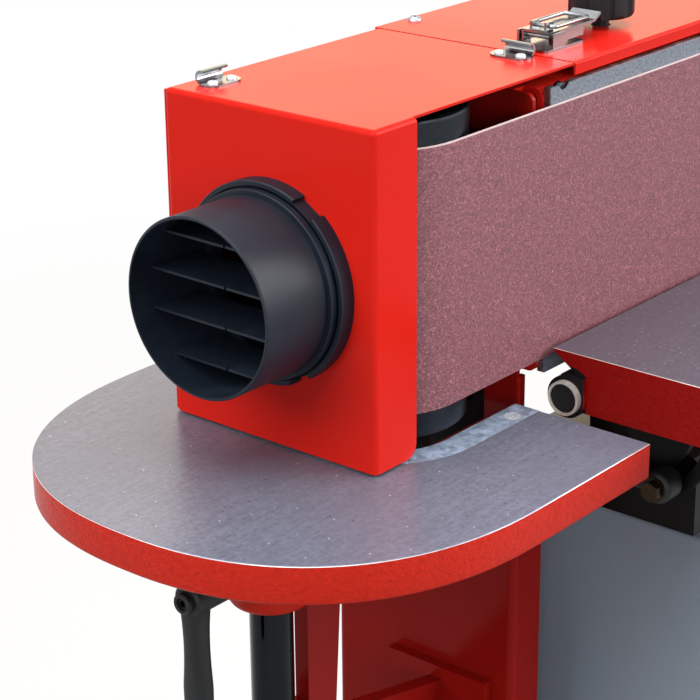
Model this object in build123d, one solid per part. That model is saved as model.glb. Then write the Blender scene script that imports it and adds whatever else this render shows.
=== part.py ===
"""Edge sander: a belt on two upright rollers over a cabinet, with a tilting main table and a round end table.

Millimetres, +Z up. The origin is the centre of the floor bolts, on the floor. +X runs along the belt to the
drive end, and -Y is the side the operator stands on.
"""
import os
from math import cos, pi, radians, sin, sqrt

from build123d import *

os.makedirs("parts", exist_ok=True)

# Driving dimensions
BELT_WIDTH = 150.0
BELT_LENGTH = 2260.0
BELT_THICK = 1.2
IDLER_R = 46.0
DRUM_R = 60.0
HOOD_LENGTH = 182.0
HOOD_FLANGE = 35.0
SHEET = 1.5
PORT_R = 50.0
PORT_LENGTH = 60.0
PORT_TURN = 4.0
BLADE_PITCH = 23.3
BLADE_RISE = 2.0
BLADE_DEPTH = 32.0
WORK_HEIGHT = 880.0
TABLE_RISE = 30.0
END_LENGTH = 264.0
END_HALF = 150.0
END_THICK = 22.0
END_SIDE_R = 765.0
END_NOSE_R = 192.0
END_CORNER_R = 99.0
MAIN_DEPTH = 250.0
MAIN_THICK = 36.0
CABINET_DEPTH = 198.0
FOOT_HEIGHT = 80.0
FOOT_WIDTH = 124.0
FOOT_LENGTH = 500.0
IDLER_OVERHANG = 136.0
DRUM_OVERHANG = 166.0
CABINET_REACH = 90.0
MOTOR_R = 70.0
MOTOR_LENGTH = 205.0
LIFT_SPREAD = 200.0
SPINDLE_R = 9.0
WHEEL_R = 65.0
WHEEL_OFFSET = 30.0
WHEEL_DROP = 185.0
WHEEL_STANDOFF = 52.0
RIM_R = 7.5
GRIP_LENGTH = 53.5
GRIP_R = 10.0
GEARBOX_SIDE = 32.0
GEARBOX_HALF = 40.0
SWITCH_WIDTH = 78.0
SWITCH_DEPTH = 58.0
SWITCH_HEIGHT = 120.0
SWITCH_INSET = 95.0
LEVER_REACH = 96.0

# Fixed gaps
RUN = 0.3
SLIP = 0.06
BELT_Y = 40.0

# Positions along the belt
DX = (BELT_LENGTH - pi * (IDLER_R + DRUM_R + 2 * RUN)) / 2
FOOT_X = (DX - IDLER_OVERHANG - DRUM_OVERHANG) / 2
IDLER_X = -FOOT_X - IDLER_OVERHANG
DRUM_X = IDLER_X + DX
HOOD_X0 = IDLER_X - IDLER_R - 18.0
HOOD_X1 = HOOD_X0 + HOOD_LENGTH
WEB_L = IDLER_X + IDLER_R + 31.0
WEB_R = DRUM_X - DRUM_R - 52.0
END_X1 = WEB_L - 10.0
MAIN_X0 = WEB_L + 14.0
MAIN_X1 = DRUM_X - DRUM_R - 37.0
DRIVE_X0 = MAIN_X1 + 1.0
DRIVE_X1 = DRUM_X + DRUM_R + 22.0
CAB_X = FOOT_X - 15.0

# Positions across the machine
IDLER_Y = BELT_Y + BELT_THICK + RUN + IDLER_R
DRUM_Y = BELT_Y + BELT_THICK + RUN + DRUM_R
POST_Y0 = BELT_Y + 10.0
POST_Y1 = POST_Y0 + 2 * DRUM_R + 20.0
HOOD_Y0 = BELT_Y + 2.0
HOOD_Y1 = POST_Y1 - RUN
CAB_Y0 = BELT_Y - CABINET_REACH
CAB_Y1 = CAB_Y0 + CABINET_DEPTH
PORT_Y = (HOOD_Y0 + HOOD_Y1) / 2 - 3.0
END_Y = BELT_Y + 63.0

# Heights
END_Z = WORK_HEIGHT
MAIN_Z = END_Z + TABLE_RISE
HOOD_Z0 = END_Z + 1.5
BELT_Z0 = MAIN_Z - 7.0
BELT_Z1 = BELT_Z0 + BELT_WIDTH
HOOD_Z1 = BELT_Z1 + 18.5
HEAD_Z0 = BELT_Z0 - 11.5
HEAD_Z1 = HOOD_Z1 - 10.0
PLATEN_Z0 = BELT_Z0 - 10.5
PLATEN_Z1 = HOOD_Z1 - 9.0
PORT_Z = HOOD_Z1 - 94.0
CAB_Z1 = END_Z - 95.0
POST_TOP = END_Z
TILT_Y = BELT_Y - 16.0
TILT_Z = MAIN_Z - 27.5


def block(x0, x1, y0, y1, z0, z1):
    return Pos((x0 + x1) / 2, (y0 + y1) / 2, (z0 + z1) / 2) * Box(x1 - x0, y1 - y0, z1 - z0)


def rod_x(x0, x1, y, z, r):
    return Pos((x0 + x1) / 2, y, z) * Rot(0, 90, 0) * Cylinder(r, x1 - x0)


def rod_y(x, y0, y1, z, r):
    return Pos(x, (y0 + y1) / 2, z) * Rot(90, 0, 0) * Cylinder(r, y1 - y0)


def rod_z(x, y, z0, z1, r):
    return Pos(x, y, (z0 + z1) / 2) * Cylinder(r, z1 - z0)


def along_x(face, x0, x1):
    plane = Plane(origin=(x0, 0, 0), x_dir=(0, 1, 0), z_dir=(1, 0, 0))
    return extrude(plane * face, amount=x1 - x0)


def along_y(face, y0, y1):
    plane = Plane(origin=(0, y1, 0), x_dir=(1, 0, 0), z_dir=(0, -1, 0))
    return extrude(plane * face, amount=y1 - y0)


def along_z(face, z0, z1):
    return extrude(Pos(0, 0, z0) * face, amount=z1 - z0)


def poly(*points):
    """A flat face through the points given, whichever way round they run."""
    following = points[1:] + points[:1]
    area = sum(a[0] * b[1] - b[0] * a[1] for a, b in zip(points, following))
    ordered = points if area > 0 else tuple(reversed(points))
    return Polygon(*ordered, align=None)


def near(edges, axis, value):
    return edges.filter_by(lambda e: abs(getattr(e.center(), axis) - value) < 0.01)


def hexagon_z(x, y, z0, z1, across):
    return along_z(Pos(x, y) * RegularPolygon(across / sqrt(3), 6), z0, z1)


def save(name, shape):
    export_step(shape, "parts/" + name + ".step")


# Two cross feet: folded channels with a floor tab at each end
FOOT_BODY = FOOT_LENGTH / 2 - 60.0
HOLE_Y = FOOT_LENGTH / 2 - 28.0
FOOT_T = 4.0


def foot(x):
    x0 = x - FOOT_WIDTH / 2
    x1 = x + FOOT_WIDTH / 2
    shape = block(x0, x1, -FOOT_BODY, FOOT_BODY, 0, FOOT_HEIGHT)
    long_edges = shape.edges().filter_by(Axis.Y).group_by(Axis.Z)[-1]
    shape = fillet(long_edges, 6.0)
    core = block(x0 + FOOT_T, x1 - FOOT_T, -FOOT_BODY + FOOT_T, FOOT_BODY - FOOT_T, -1, FOOT_HEIGHT - FOOT_T)
    shape = shape - core
    for side in (-1, 1):
        y0 = min(side * (FOOT_BODY - 30), side * FOOT_LENGTH / 2)
        y1 = max(side * (FOOT_BODY - 30), side * FOOT_LENGTH / 2)
        tab = block(x0 + FOOT_T, x1 - FOOT_T, y0, y1, 0, 8)
        ends = tab.edges().filter_by(Axis.Z).group_by(Axis.Y)[-1 if side > 0 else 0]
        tab = fillet(ends, 10.0)
        shape = shape + tab
        shape = shape - rod_z(x, side * HOLE_Y, -1, 9, 6.5)
    return shape


POST_BOLT_X = 16.0
POST_BOLTS = []
for web_x, inward in ((WEB_L + POST_BOLT_X, 1), (WEB_R - POST_BOLT_X, -1)):
    for bolt_y in (POST_Y0 + 35.0, POST_Y1 - 35.0):
        POST_BOLTS.append((web_x, bolt_y))
CAB_BOLTS = []
for bolt_x in (-CAB_X + 16.0, CAB_X - 16.0):
    for bolt_y in (CAB_Y0 + 30.0, CAB_Y1 - 30.0):
        CAB_BOLTS.append((bolt_x, bolt_y))

feet = foot(-FOOT_X) + foot(FOOT_X)
for bolt_x, bolt_y in POST_BOLTS + CAB_BOLTS:
    feet = feet - rod_z(bolt_x, bolt_y, FOOT_HEIGHT - 10, FOOT_HEIGHT + 1, 5.1)
save("floor_feet", feet)

# Base cabinet: a sheet box with a turned-in flange round its open bottom
CAB_T = 2.5
LIFT_X = LIFT_SPREAD
LIFT_Y = BELT_Y - 35.0
WHEEL_X = WHEEL_OFFSET
WHEEL_Z = CAB_Z1 - WHEEL_DROP
cabinet = block(-CAB_X, CAB_X, CAB_Y0, CAB_Y1, FOOT_HEIGHT, CAB_Z1)
cabinet = fillet(cabinet.edges().filter_by(Axis.Z), 5.0)
cabinet = fillet(cabinet.edges().group_by(Axis.Z)[-1], 3.0)
cabinet = cabinet - block(-CAB_X + CAB_T, CAB_X - CAB_T, CAB_Y0 + CAB_T, CAB_Y1 - CAB_T,
                          FOOT_HEIGHT + 3, CAB_Z1 - CAB_T)
cabinet = cabinet - block(-CAB_X + 30, CAB_X - 30, CAB_Y0 + 26, CAB_Y1 - 26, FOOT_HEIGHT - 1, FOOT_HEIGHT + 4)
for side in (-1, 1):
    cabinet = cabinet - rod_z(side * LIFT_X, LIFT_Y, CAB_Z1 - 5, CAB_Z1 + 1, 23.0)
cabinet = cabinet - rod_z(0, LIFT_Y, CAB_Z1 - 5, CAB_Z1 + 1, SPINDLE_R + 3)
cabinet = cabinet - rod_y(WHEEL_X, CAB_Y0 - 1, CAB_Y0 + 5, WHEEL_Z, 10.0)
for bolt_x, bolt_y in CAB_BOLTS:
    cabinet = cabinet - rod_z(bolt_x, bolt_y, FOOT_HEIGHT - 1, FOOT_HEIGHT + 4, 5.1)
save("base_cabinet", cabinet)

# Left post: a folded channel whose web carries on up inside the belt loop to hold the head
POST_T = 3.0
POST_DEPTH = 28.0
STRIP_WIDTH = 7.0
WEB_GAP = 4.0
ROD_R = 8.0
ROD_ZS = (BELT_Z0 + 32.0, BELT_Z1 - 33.0)
GUIDE_X1 = WEB_L + 145.0


def post(web_x, side):
    """A post with its flanges on the side given, +1 or -1."""
    x0 = min(web_x, web_x + side * POST_DEPTH)
    x1 = max(web_x, web_x + side * POST_DEPTH)
    shape = block(x0, x1, POST_Y0, POST_Y1, FOOT_HEIGHT, POST_TOP)
    bends = near(shape.edges().filter_by(Axis.Z), "X", web_x)
    shape = fillet(bends, 5.0)
    inner = min(web_x + side * POST_T, web_x + side * (POST_DEPTH + 1))
    outer = max(web_x + side * POST_T, web_x + side * (POST_DEPTH + 1))
    shape = shape - block(inner, outer, POST_Y0 + POST_T, POST_Y1 - POST_T, FOOT_HEIGHT + 6, POST_TOP + 1)
    lip0 = min(web_x + side * STRIP_WIDTH, web_x + side * (POST_DEPTH + 1))
    lip1 = max(web_x + side * STRIP_WIDTH, web_x + side * (POST_DEPTH + 1))
    shape = shape - block(lip0, lip1, POST_Y0 - 1, POST_Y0 + POST_T + 1, POST_TOP - 35, POST_TOP + 1)
    web0 = min(web_x, web_x + side * POST_T)
    web1 = max(web_x, web_x + side * POST_T)
    upper = block(web0, web1, BELT_Y + 11, BELT_Y + 86, POST_TOP - 10, HEAD_Z1)
    corners = upper.edges().filter_by(Axis.X).group_by(Axis.Z)[-1]
    upper = fillet(corners, 5.0)
    strip0 = min(web_x, web_x + side * STRIP_WIDTH)
    strip1 = max(web_x, web_x + side * STRIP_WIDTH)
    strip = block(strip0, strip1, POST_Y0, POST_Y0 + POST_T, POST_TOP - 50, HEAD_Z0)
    strip = fillet(near(strip.edges().filter_by(Axis.Z).group_by(Axis.Y)[0], "X", web_x), 2.9)
    return shape + upper + strip


left_post = post(WEB_L, 1)
nose = block(WEB_L, WEB_L + POST_T, BELT_Y + WEB_GAP, BELT_Y + 40, BELT_Z0, HEAD_Z1)
nose = fillet(nose.edges().filter_by(Axis.X).group_by(Axis.Z)[-1].group_by(Axis.Y)[0], 5.0)
left_post = left_post + nose
GUIDE = block(WEB_L + POST_T, GUIDE_X1, IDLER_Y - 17, IDLER_Y + 17, ROD_ZS[0] - 20, ROD_ZS[1] + 20)
left_post = left_post + GUIDE
for rod_height in ROD_ZS:
    left_post = left_post - rod_x(WEB_L - 1, GUIDE_X1 + 1, IDLER_Y, rod_height, ROD_R + SLIP)
right_post = post(WEB_R, -1)
for bolt_x, bolt_y in POST_BOLTS:
    left_post = left_post - rod_z(bolt_x, bolt_y, FOOT_HEIGHT - 1, FOOT_HEIGHT + 7, 5.1)
    right_post = right_post - rod_z(bolt_x, bolt_y, FOOT_HEIGHT - 1, FOOT_HEIGHT + 7, 5.1)
save("left_post", left_post)
save("right_post", right_post)


def hex_bolt(x, y, z):
    head = hexagon_z(x, y, z, z + 6.5, 16.0)
    return head + rod_z(x, y, z - 13, z, 5.0)


bolts = None
for bolt_x, bolt_y in POST_BOLTS:
    one = hex_bolt(bolt_x, bolt_y, FOOT_HEIGHT + 6)
    bolts = one if bolts is None else bolts + one
for bolt_x, bolt_y in CAB_BOLTS:
    bolts = bolts + hex_bolt(bolt_x, bolt_y, FOOT_HEIGHT + 3)
save("base_bolts", bolts)

# Head: a channel open to the back, between the two webs, inside the belt loop
HEAD_T = 4.0
HEAD_Y0 = BELT_Y + 6.5
HEAD_Y1 = BELT_Y + 86.0
HEAD_XA = WEB_L + POST_T
HEAD_XB = WEB_R - POST_T
LEVER_X = GUIDE_X1 + 140.0
TRACK_X = GUIDE_X1 - 13.0
NOSE_BACK = 10.0


def channel(inset, radius, x0, x1, back):
    shape = block(x0, x1, HEAD_Y0 + inset, back, HEAD_Z0 + inset, HEAD_Z1 - inset)
    front = shape.edges().filter_by(Axis.X).group_by(Axis.Y)[0]
    return fillet(front, radius)


head = channel(0, 6.0, HEAD_XA, HEAD_XB, HEAD_Y1)
head = head - channel(HEAD_T, 2.0, HEAD_XA - 1, HEAD_XB + 1, HEAD_Y1 + 1)
for x0 in (HEAD_XA - 1, HEAD_XB - NOSE_BACK):
    head = head - block(x0, x0 + NOSE_BACK + 1, HEAD_Y0 - 1, HEAD_Y0 + 13, HEAD_Z0 - 1, HEAD_Z1 + 1)
head = head + rod_z(LEVER_X, IDLER_Y, HEAD_Z1 - 19, HEAD_Z1 - 1, 17.0)
head = head - rod_z(LEVER_X, IDLER_Y, HEAD_Z1 - 30, HEAD_Z1 + 1, ROD_R + SLIP)
head = head - rod_z(TRACK_X, IDLER_Y, HEAD_Z1 - 10, HEAD_Z1 + 1, 5.0 + SLIP)
SCREW_XS = [HEAD_XA + 24.0 + i * (HEAD_XB - HEAD_XA - 48.0) / 4 for i in range(5)]
SCREW_Z = PLATEN_Z1 - 5.0
for screw_x in SCREW_XS:
    head = head - rod_y(screw_x, HEAD_Y0 - 1, HEAD_Y0 + 16, SCREW_Z, 3.1)
save("head_channel", head)

# Platen and its graphite cloth, behind the working run of the belt
PLATEN_XA = HEAD_XA + NOSE_BACK + 1.0
PLATEN_XB = DRUM_X - DRUM_R - 36.0
PLATEN_Y0 = BELT_Y + 2.5
platen = block(PLATEN_XA, PLATEN_XB, PLATEN_Y0, HEAD_Y0, PLATEN_Z0, PLATEN_Z1)
pad = block(PLATEN_XA, PLATEN_XB, PLATEN_Y0 - 1.0, PLATEN_Y0, PLATEN_Z0, PLATEN_Z1)
for screw_x in SCREW_XS:
    platen = platen - rod_y(screw_x, PLATEN_Y0 - 2, HEAD_Y0 + 1, SCREW_Z, 7.0)
    platen = platen - block(screw_x - 7, screw_x + 7, PLATEN_Y0 - 2, HEAD_Y0 + 1, SCREW_Z, PLATEN_Z1 + 1)
    pad = pad - rod_y(screw_x, PLATEN_Y0 - 2, PLATEN_Y0 + 1, PLATEN_Z1 + 3.5, 6.5)
save("platen", platen)
save("platen_pad", pad)

screws = None
for screw_x in SCREW_XS:
    dome = rod_y(screw_x, HEAD_Y0 - 3.5, HEAD_Y0, SCREW_Z, 6.2)
    rim = dome.edges().filter_by(GeomType.CIRCLE).group_by(Axis.Y)[0]
    dome = fillet(rim, 2.2)
    dome = dome + rod_y(screw_x, HEAD_Y0 - 1, HEAD_Y0 + 12, SCREW_Z, 3.0)
    screws = dome if screws is None else screws + dome
save("platen_screws", screws)

# Belt: a closed loop round both rollers
WRAP = RUN + BELT_THICK


def loop(extra):
    left = Pos(IDLER_X, IDLER_Y) * Circle(IDLER_R + extra)
    right = Pos(DRUM_X, DRUM_Y) * Circle(DRUM_R + extra)
    return make_hull(left.edges() + right.edges())


belt = along_z(loop(WRAP) - loop(RUN), BELT_Z0, BELT_Z1)
save("belt", belt)

# Idler roller on its bearings, axle and sliding carriage
IDLER_Z0 = BELT_Z0 - 15.0
IDLER_Z1 = BELT_Z1 + 13.5
AXLE_R = 10.0
BEARING_R = 21.0
idler = rod_z(IDLER_X, IDLER_Y, IDLER_Z0, IDLER_Z1, IDLER_R)
idler = chamfer(idler.edges().filter_by(GeomType.CIRCLE), 1.0)
idler = idler - rod_z(IDLER_X, IDLER_Y, IDLER_Z0 - 1, IDLER_Z1 + 1, AXLE_R + 3)
for z0, z1 in ((IDLER_Z0 - 1, IDLER_Z0 + 16), (IDLER_Z1 - 16, IDLER_Z1 + 1)):
    idler = idler - rod_z(IDLER_X, IDLER_Y, z0, z1, BEARING_R)
for z0, z1 in ((IDLER_Z0 - 1, IDLER_Z0 + 70), (IDLER_Z1 - 70, IDLER_Z1 + 1)):
    ring = rod_z(IDLER_X, IDLER_Y, z0, z1, IDLER_R - 6)
    ring = ring - rod_z(IDLER_X, IDLER_Y, z0 - 1, z1 + 1, BEARING_R + 5)
    idler = idler - ring
save("idler_roller", idler)

bearings = None
for z0, z1 in ((IDLER_Z0 + 4, IDLER_Z0 + 16), (IDLER_Z1 - 16, IDLER_Z1 - 4)):
    one = rod_z(IDLER_X, IDLER_Y, z0, z1, BEARING_R) - rod_z(IDLER_X, IDLER_Y, z0 - 1, z1 + 1, AXLE_R + SLIP)
    bearings = one if bearings is None else bearings + one
save("idler_bearings", bearings)

ARM_Z0 = END_Z - 14.0
ARM_Z1 = END_Z + 2.0
axle = rod_z(IDLER_X, IDLER_Y, ARM_Z0 - 4, IDLER_Z1 - 6, AXLE_R)
axle = chamfer(axle.edges().filter_by(GeomType.CIRCLE), 1.0)
save("idler_axle", axle)

CAR_X1 = WEB_L - 12.0
CAR_X0 = CAR_X1 - 12.0
carriage = block(CAR_X0, CAR_X1, IDLER_Y - 22, IDLER_Y + 22, ARM_Z0, ROD_ZS[1] + 20)
carriage = carriage + block(IDLER_X, CAR_X1, IDLER_Y - 22, IDLER_Y + 22, ARM_Z0, ARM_Z1)
carriage = carriage + rod_z(IDLER_X, IDLER_Y, ARM_Z0 - 4, ARM_Z1 + 2, 26.0)
carriage = carriage - rod_z(IDLER_X, IDLER_Y, ARM_Z0 - 5, ARM_Z1 + 3, AXLE_R)
save("idler_carriage", carriage)

# Two guide rods tie the carriage to a crosshead, which the eccentric of the tension lever pushes
CROSS_X1 = LEVER_X - 20.2
CROSS_X0 = CROSS_X1 - 8.0
rods = block(CROSS_X0, CROSS_X1, IDLER_Y - 17, IDLER_Y + 17, ROD_ZS[0] - 18, ROD_ZS[1] + 18)
for rod_height in ROD_ZS:
    rods = rods + rod_x(CAR_X1, CROSS_X0, IDLER_Y, rod_height, ROD_R)
save("tension_rods", rods)

CAM_OFFSET = 5.0
CAM_R = 14.0
CAM_Z = (ROD_ZS[0] + ROD_ZS[1]) / 2
LEVER_Z0 = HOOD_Z1 + 1.5
lever = rod_z(LEVER_X, IDLER_Y, CAM_Z - 14, LEVER_Z0, ROD_R)
lever = lever + rod_z(LEVER_X - CAM_OFFSET, IDLER_Y, CAM_Z - 10, CAM_Z + 10, CAM_R)
lever = lever + rod_z(LEVER_X, IDLER_Y, LEVER_Z0, LEVER_Z0 + 21, 16.0)
arm = block(LEVER_X, LEVER_X + LEVER_REACH, IDLER_Y - 7, IDLER_Y + 7, LEVER_Z0 + 9, LEVER_Z0 + 18)
lever = lever + arm
save("tension_lever", lever)
save("tension_ball", Pos(LEVER_X + LEVER_REACH + 8, IDLER_Y, LEVER_Z0 + 13.5) * Sphere(13.0) - arm)

knob = rod_z(TRACK_X, IDLER_Y, HOOD_Z1 + 6, HOOD_Z1 + 26, 20.0)
knob = fillet(knob.edges().filter_by(GeomType.CIRCLE), 3.0)
for i in range(8):
    angle = radians(45 * i)
    flute_x = TRACK_X + 22.5 * cos(angle)
    flute_y = IDLER_Y + 22.5 * sin(angle)
    knob = knob - rod_z(flute_x, flute_y, HOOD_Z1 + 5, HOOD_Z1 + 27, 5.0)
knob = knob + rod_z(TRACK_X, IDLER_Y, ROD_ZS[1] + 20.2, HOOD_Z1 + 7, 5.0)
save("tracking_knob", knob)

# Drive drum straight on the motor shaft
DRUM_Z0 = BELT_Z0 - 6.0
DRUM_Z1 = BELT_Z1 + 6.0
SHAFT_R = 12.0
drum = rod_z(DRUM_X, DRUM_Y, DRUM_Z0, DRUM_Z1, DRUM_R)
drum = chamfer(drum.edges().filter_by(GeomType.CIRCLE), 2.0)
web_z = (DRUM_Z0 + DRUM_Z1) / 2
for z0, z1 in ((DRUM_Z0 - 1, web_z - 8), (web_z + 8, DRUM_Z1 + 1)):
    drum = drum - (rod_z(DRUM_X, DRUM_Y, z0, z1, DRUM_R - 9) - rod_z(DRUM_X, DRUM_Y, z0 - 1, z1 + 1, 25.0))
drum = drum - rod_z(DRUM_X, DRUM_Y, DRUM_Z0 - 1, DRUM_Z1 + 1, SHAFT_R)
save("drive_drum", drum)

# Motor hung from a bracket on the right post
BRACKET_Z1 = HEAD_Z0
BRACKET_Z0 = BRACKET_Z1 - 12.0
FLANGE_R = MOTOR_R + 20.0
FLANGE_Z0 = BRACKET_Z0 - 12.0
MOTOR_Z0 = FLANGE_Z0 - MOTOR_LENGTH
bracket = block(WEB_R, DRIVE_X1 + 2, HOOD_Y0, POST_Y1, BRACKET_Z0, BRACKET_Z1)
bracket = bracket + block(WEB_R, WEB_R + 10, POST_Y0, POST_Y1, BRACKET_Z0 - 140, BRACKET_Z0)
for rib_y in (POST_Y0 + 4, POST_Y1 - 12):
    rib = poly((WEB_R + 10, BRACKET_Z0), (WEB_R + 25, BRACKET_Z0), (WEB_R + 10, BRACKET_Z0 - 90))
    bracket = bracket + along_y(rib, rib_y, rib_y + 8)
bracket = bracket - rod_z(DRUM_X, DRUM_Y, BRACKET_Z0 - 1, BRACKET_Z1 + 1, 40.0)
MOTOR_BOLTS = []
for i in range(4):
    angle = radians(45 + 90 * i)
    MOTOR_BOLTS.append((DRUM_X + (FLANGE_R - 9) * cos(angle), DRUM_Y + (FLANGE_R - 9) * sin(angle)))
for bolt_x, bolt_y in MOTOR_BOLTS:
    bracket = bracket - rod_z(bolt_x, bolt_y, BRACKET_Z0 - 1, BRACKET_Z1 + 1, 5.1)
save("motor_bracket", bracket)

motor = rod_z(DRUM_X, DRUM_Y, MOTOR_Z0, FLANGE_Z0, MOTOR_R - 8)
FIN_Z0 = MOTOR_Z0 + 22.0
FIN_Z1 = FLANGE_Z0 - 24.0
for i in range(24):
    fin = block(MOTOR_R - 12, MOTOR_R, -1.4, 1.4, FIN_Z0, FIN_Z1)
    motor = motor + Pos(DRUM_X, DRUM_Y) * Rot(0, 0, 15 * i) * fin
motor = motor + rod_z(DRUM_X, DRUM_Y, MOTOR_Z0, FIN_Z0 - 4, MOTOR_R)
motor = motor + rod_z(DRUM_X, DRUM_Y, FIN_Z1 + 4, FLANGE_Z0, MOTOR_R)
motor = motor + rod_z(DRUM_X, DRUM_Y, FLANGE_Z0, BRACKET_Z0, FLANGE_R)
motor = motor + rod_z(DRUM_X, DRUM_Y, BRACKET_Z0, BRACKET_Z0 + 4, 39.9)
motor = motor - rod_z(DRUM_X, DRUM_Y, BRACKET_Z0 - 70, BRACKET_Z0 + 5, SHAFT_R + SLIP)
for bolt_x, bolt_y in MOTOR_BOLTS:
    motor = motor - rod_z(bolt_x, bolt_y, FLANGE_Z0 - 1, BRACKET_Z0 + 1, 5.1)
save("motor_body", motor)
save("motor_shaft", rod_z(DRUM_X, DRUM_Y, BRACKET_Z0 - 65, DRUM_Z1 - 4, SHAFT_R))

bolts = None
for bolt_x, bolt_y in MOTOR_BOLTS:
    one = hexagon_z(bolt_x, bolt_y, FLANGE_Z0 - 6.5, FLANGE_Z0, 16.0)
    one = one + rod_z(bolt_x, bolt_y, FLANGE_Z0, BRACKET_Z1 - 1, 5.0)
    bolts = one if bolts is None else bolts + one
save("motor_bolts", bolts)

FAN_Z0 = MOTOR_Z0 - 58.0
fan_cover = rod_z(DRUM_X, DRUM_Y, FAN_Z0, MOTOR_Z0 + 14, MOTOR_R + 2.0)
fan_cover = fillet(fan_cover.edges().filter_by(GeomType.CIRCLE).group_by(Axis.Z)[0], 14.0)
fan_space = rod_z(DRUM_X, DRUM_Y, FAN_Z0 + 2, MOTOR_Z0 + 15, MOTOR_R + 0.1)
fan_space = fillet(fan_space.edges().filter_by(GeomType.CIRCLE).group_by(Axis.Z)[0], 12.5)
fan_cover = fan_cover - fan_space
for i in range(8):
    slot = block(20, 52, -3.5, 3.5, FAN_Z0 - 1, FAN_Z0 + 3)
    fan_cover = fan_cover - Pos(DRUM_X, DRUM_Y) * Rot(0, 0, 45 * i) * slot
save("motor_fan_cover", fan_cover)

BOX_Y1 = DRUM_Y - MOTOR_R + 4.0
BOX_Y0 = BOX_Y1 - 44.0
BOX_Z0 = (FIN_Z0 + FIN_Z1) / 2 - 45.0
terminal = block(DRUM_X - 48, DRUM_X + 48, BOX_Y0, BOX_Y1, BOX_Z0, BOX_Z0 + 90)
terminal = fillet(terminal.edges().group_by(Axis.Y)[0], 5.0)
terminal = terminal - rod_z(DRUM_X, DRUM_Y, BOX_Z0 - 1, BOX_Z0 + 91, MOTOR_R + 0.1)
save("terminal_box", terminal)


def shroud(x_closed, x_open, z0, flange):
    """A folded sheet box, shut at x_closed, open below and at x_open, with a return flange at the front."""
    x0 = min(x_closed, x_open)
    x1 = max(x_closed, x_open)
    shape = block(x0, x1, HOOD_Y0, HOOD_Y1, z0, HOOD_Z1)
    upright = near(shape.edges().filter_by(Axis.Z), "X", x_closed)
    top_sides = shape.edges().filter_by(Axis.X).group_by(Axis.Z)[-1]
    top_end = near(shape.edges().filter_by(Axis.Y).group_by(Axis.Z)[-1], "X", x_closed)
    shape = fillet(upright + top_sides + top_end, 3.0)
    sign = 1 if x_open > x_closed else -1
    inner0 = min(x_closed + sign * SHEET, x_open + sign)
    inner1 = max(x_closed + sign * SHEET, x_open + sign)
    core = block(inner0, inner1, HOOD_Y0 + SHEET, HOOD_Y1 - SHEET, z0 - 1, HOOD_Z1 - SHEET)
    upright = near(core.edges().filter_by(Axis.Z), "X", x_closed + sign * SHEET)
    top_sides = core.edges().filter_by(Axis.X).group_by(Axis.Z)[-1]
    top_end = near(core.edges().filter_by(Axis.Y).group_by(Axis.Z)[-1], "X", x_closed + sign * SHEET)
    core = fillet(upright + top_sides + top_end, 1.5)
    shape = shape - core
    edge = x_closed + sign * flange
    cut0 = min(edge, x_open + sign)
    cut1 = max(edge, x_open + sign)
    shape = shape - block(cut0, cut1, HOOD_Y0 - 1, HOOD_Y0 + 3.2, z0 - 1, HOOD_Z1 + 1)
    corner0 = min(edge, edge - sign * 8)
    corner1 = max(edge, edge - sign * 8)
    corner = block(corner0, corner1, HOOD_Y0 - 1, HOOD_Y0 + SHEET + 1, z0 - 1, z0 + 8)
    corner = corner - rod_y(edge - sign * 8, HOOD_Y0 - 2, HOOD_Y0 + SHEET + 2, z0 + 8, 8.0)
    return shape - corner


# Lift-off hood over the idler end, with its dust port
hood = shroud(HOOD_X0, HOOD_X1, HOOD_Z0, HOOD_FLANGE)
hood = hood - rod_x(HOOD_X0 - 1, HOOD_X0 + 5, PORT_Y, PORT_Z, PORT_R - 4)
save("hood", hood)

port_profile = poly(
    (-PORT_LENGTH, PORT_R - 2.4), (-PORT_LENGTH, PORT_R - 0.7), (-PORT_LENGTH + 0.7, PORT_R),
    (-13.5, PORT_R), (-13.5, PORT_R + 2.6), (-13.1, PORT_R + 3.0), (-9.5, PORT_R + 3.0), (-9.5, PORT_R + 2.0),
    (-5, PORT_R + 2.0), (-5, PORT_R + 4.2), (-9.5, PORT_R + 4.2), (-9.5, PORT_R + 6.4), (-8.9, PORT_R + 7),
    (0, PORT_R + 7), (0, PORT_R - 4.2), (6, PORT_R - 4.2), (6, PORT_R - 6.5), (-3, PORT_R - 6.5),
    (-3, PORT_R - 2.4))
port = revolve(port_profile, Axis.X)
for angle in (118.5, 238.5, 358.5):
    notch = block(-11, 0.5, -7.5, 7.5, PORT_R + 4.2, PORT_R + 8)
    port = port - Rot(angle - 90, 0, 0) * notch
BLADE_X0 = -PORT_LENGTH + 15.0
BLADE_X1 = BLADE_X0 + BLADE_DEPTH
for level in (-1.5, -0.5, 0.5, 1.5):
    height = BLADE_RISE + level * BLADE_PITCH
    half = sqrt((PORT_R - 1.5) ** 2 - (abs(height) + 1.0) ** 2)
    blade = along_y(poly((BLADE_X0, height - 0.7), (BLADE_X0, height + 0.7), (BLADE_X1, height + 1.0),
                         (BLADE_X1, height - 1.0)), -half, half)
    blade = blade - block(BLADE_X0 - 1, BLADE_X0 + 1.6, -0.7, 0.7, height - 2, height + 2)
    port = port + blade
port = Rot(PORT_TURN, 0, 0) * port
save("dust_port", Pos(HOOD_X0, PORT_Y, PORT_Z) * port)

# Keepers of the two hood latches: an oval plate with a curled hook along one side, and two rivets
KEEPER_BACK = Plane(origin=(HOOD_X0 + 26, HOOD_Y0 + 130, HOOD_Z1), x_dir=(0, 1, 0), z_dir=(0, 0, 1))
KEEPER_SIDE = Plane(origin=(HOOD_X1 - 9, HOOD_Y0 + 40, HOOD_Z1), x_dir=(1, 0, 0), z_dir=(0, 0, 1))


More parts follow.
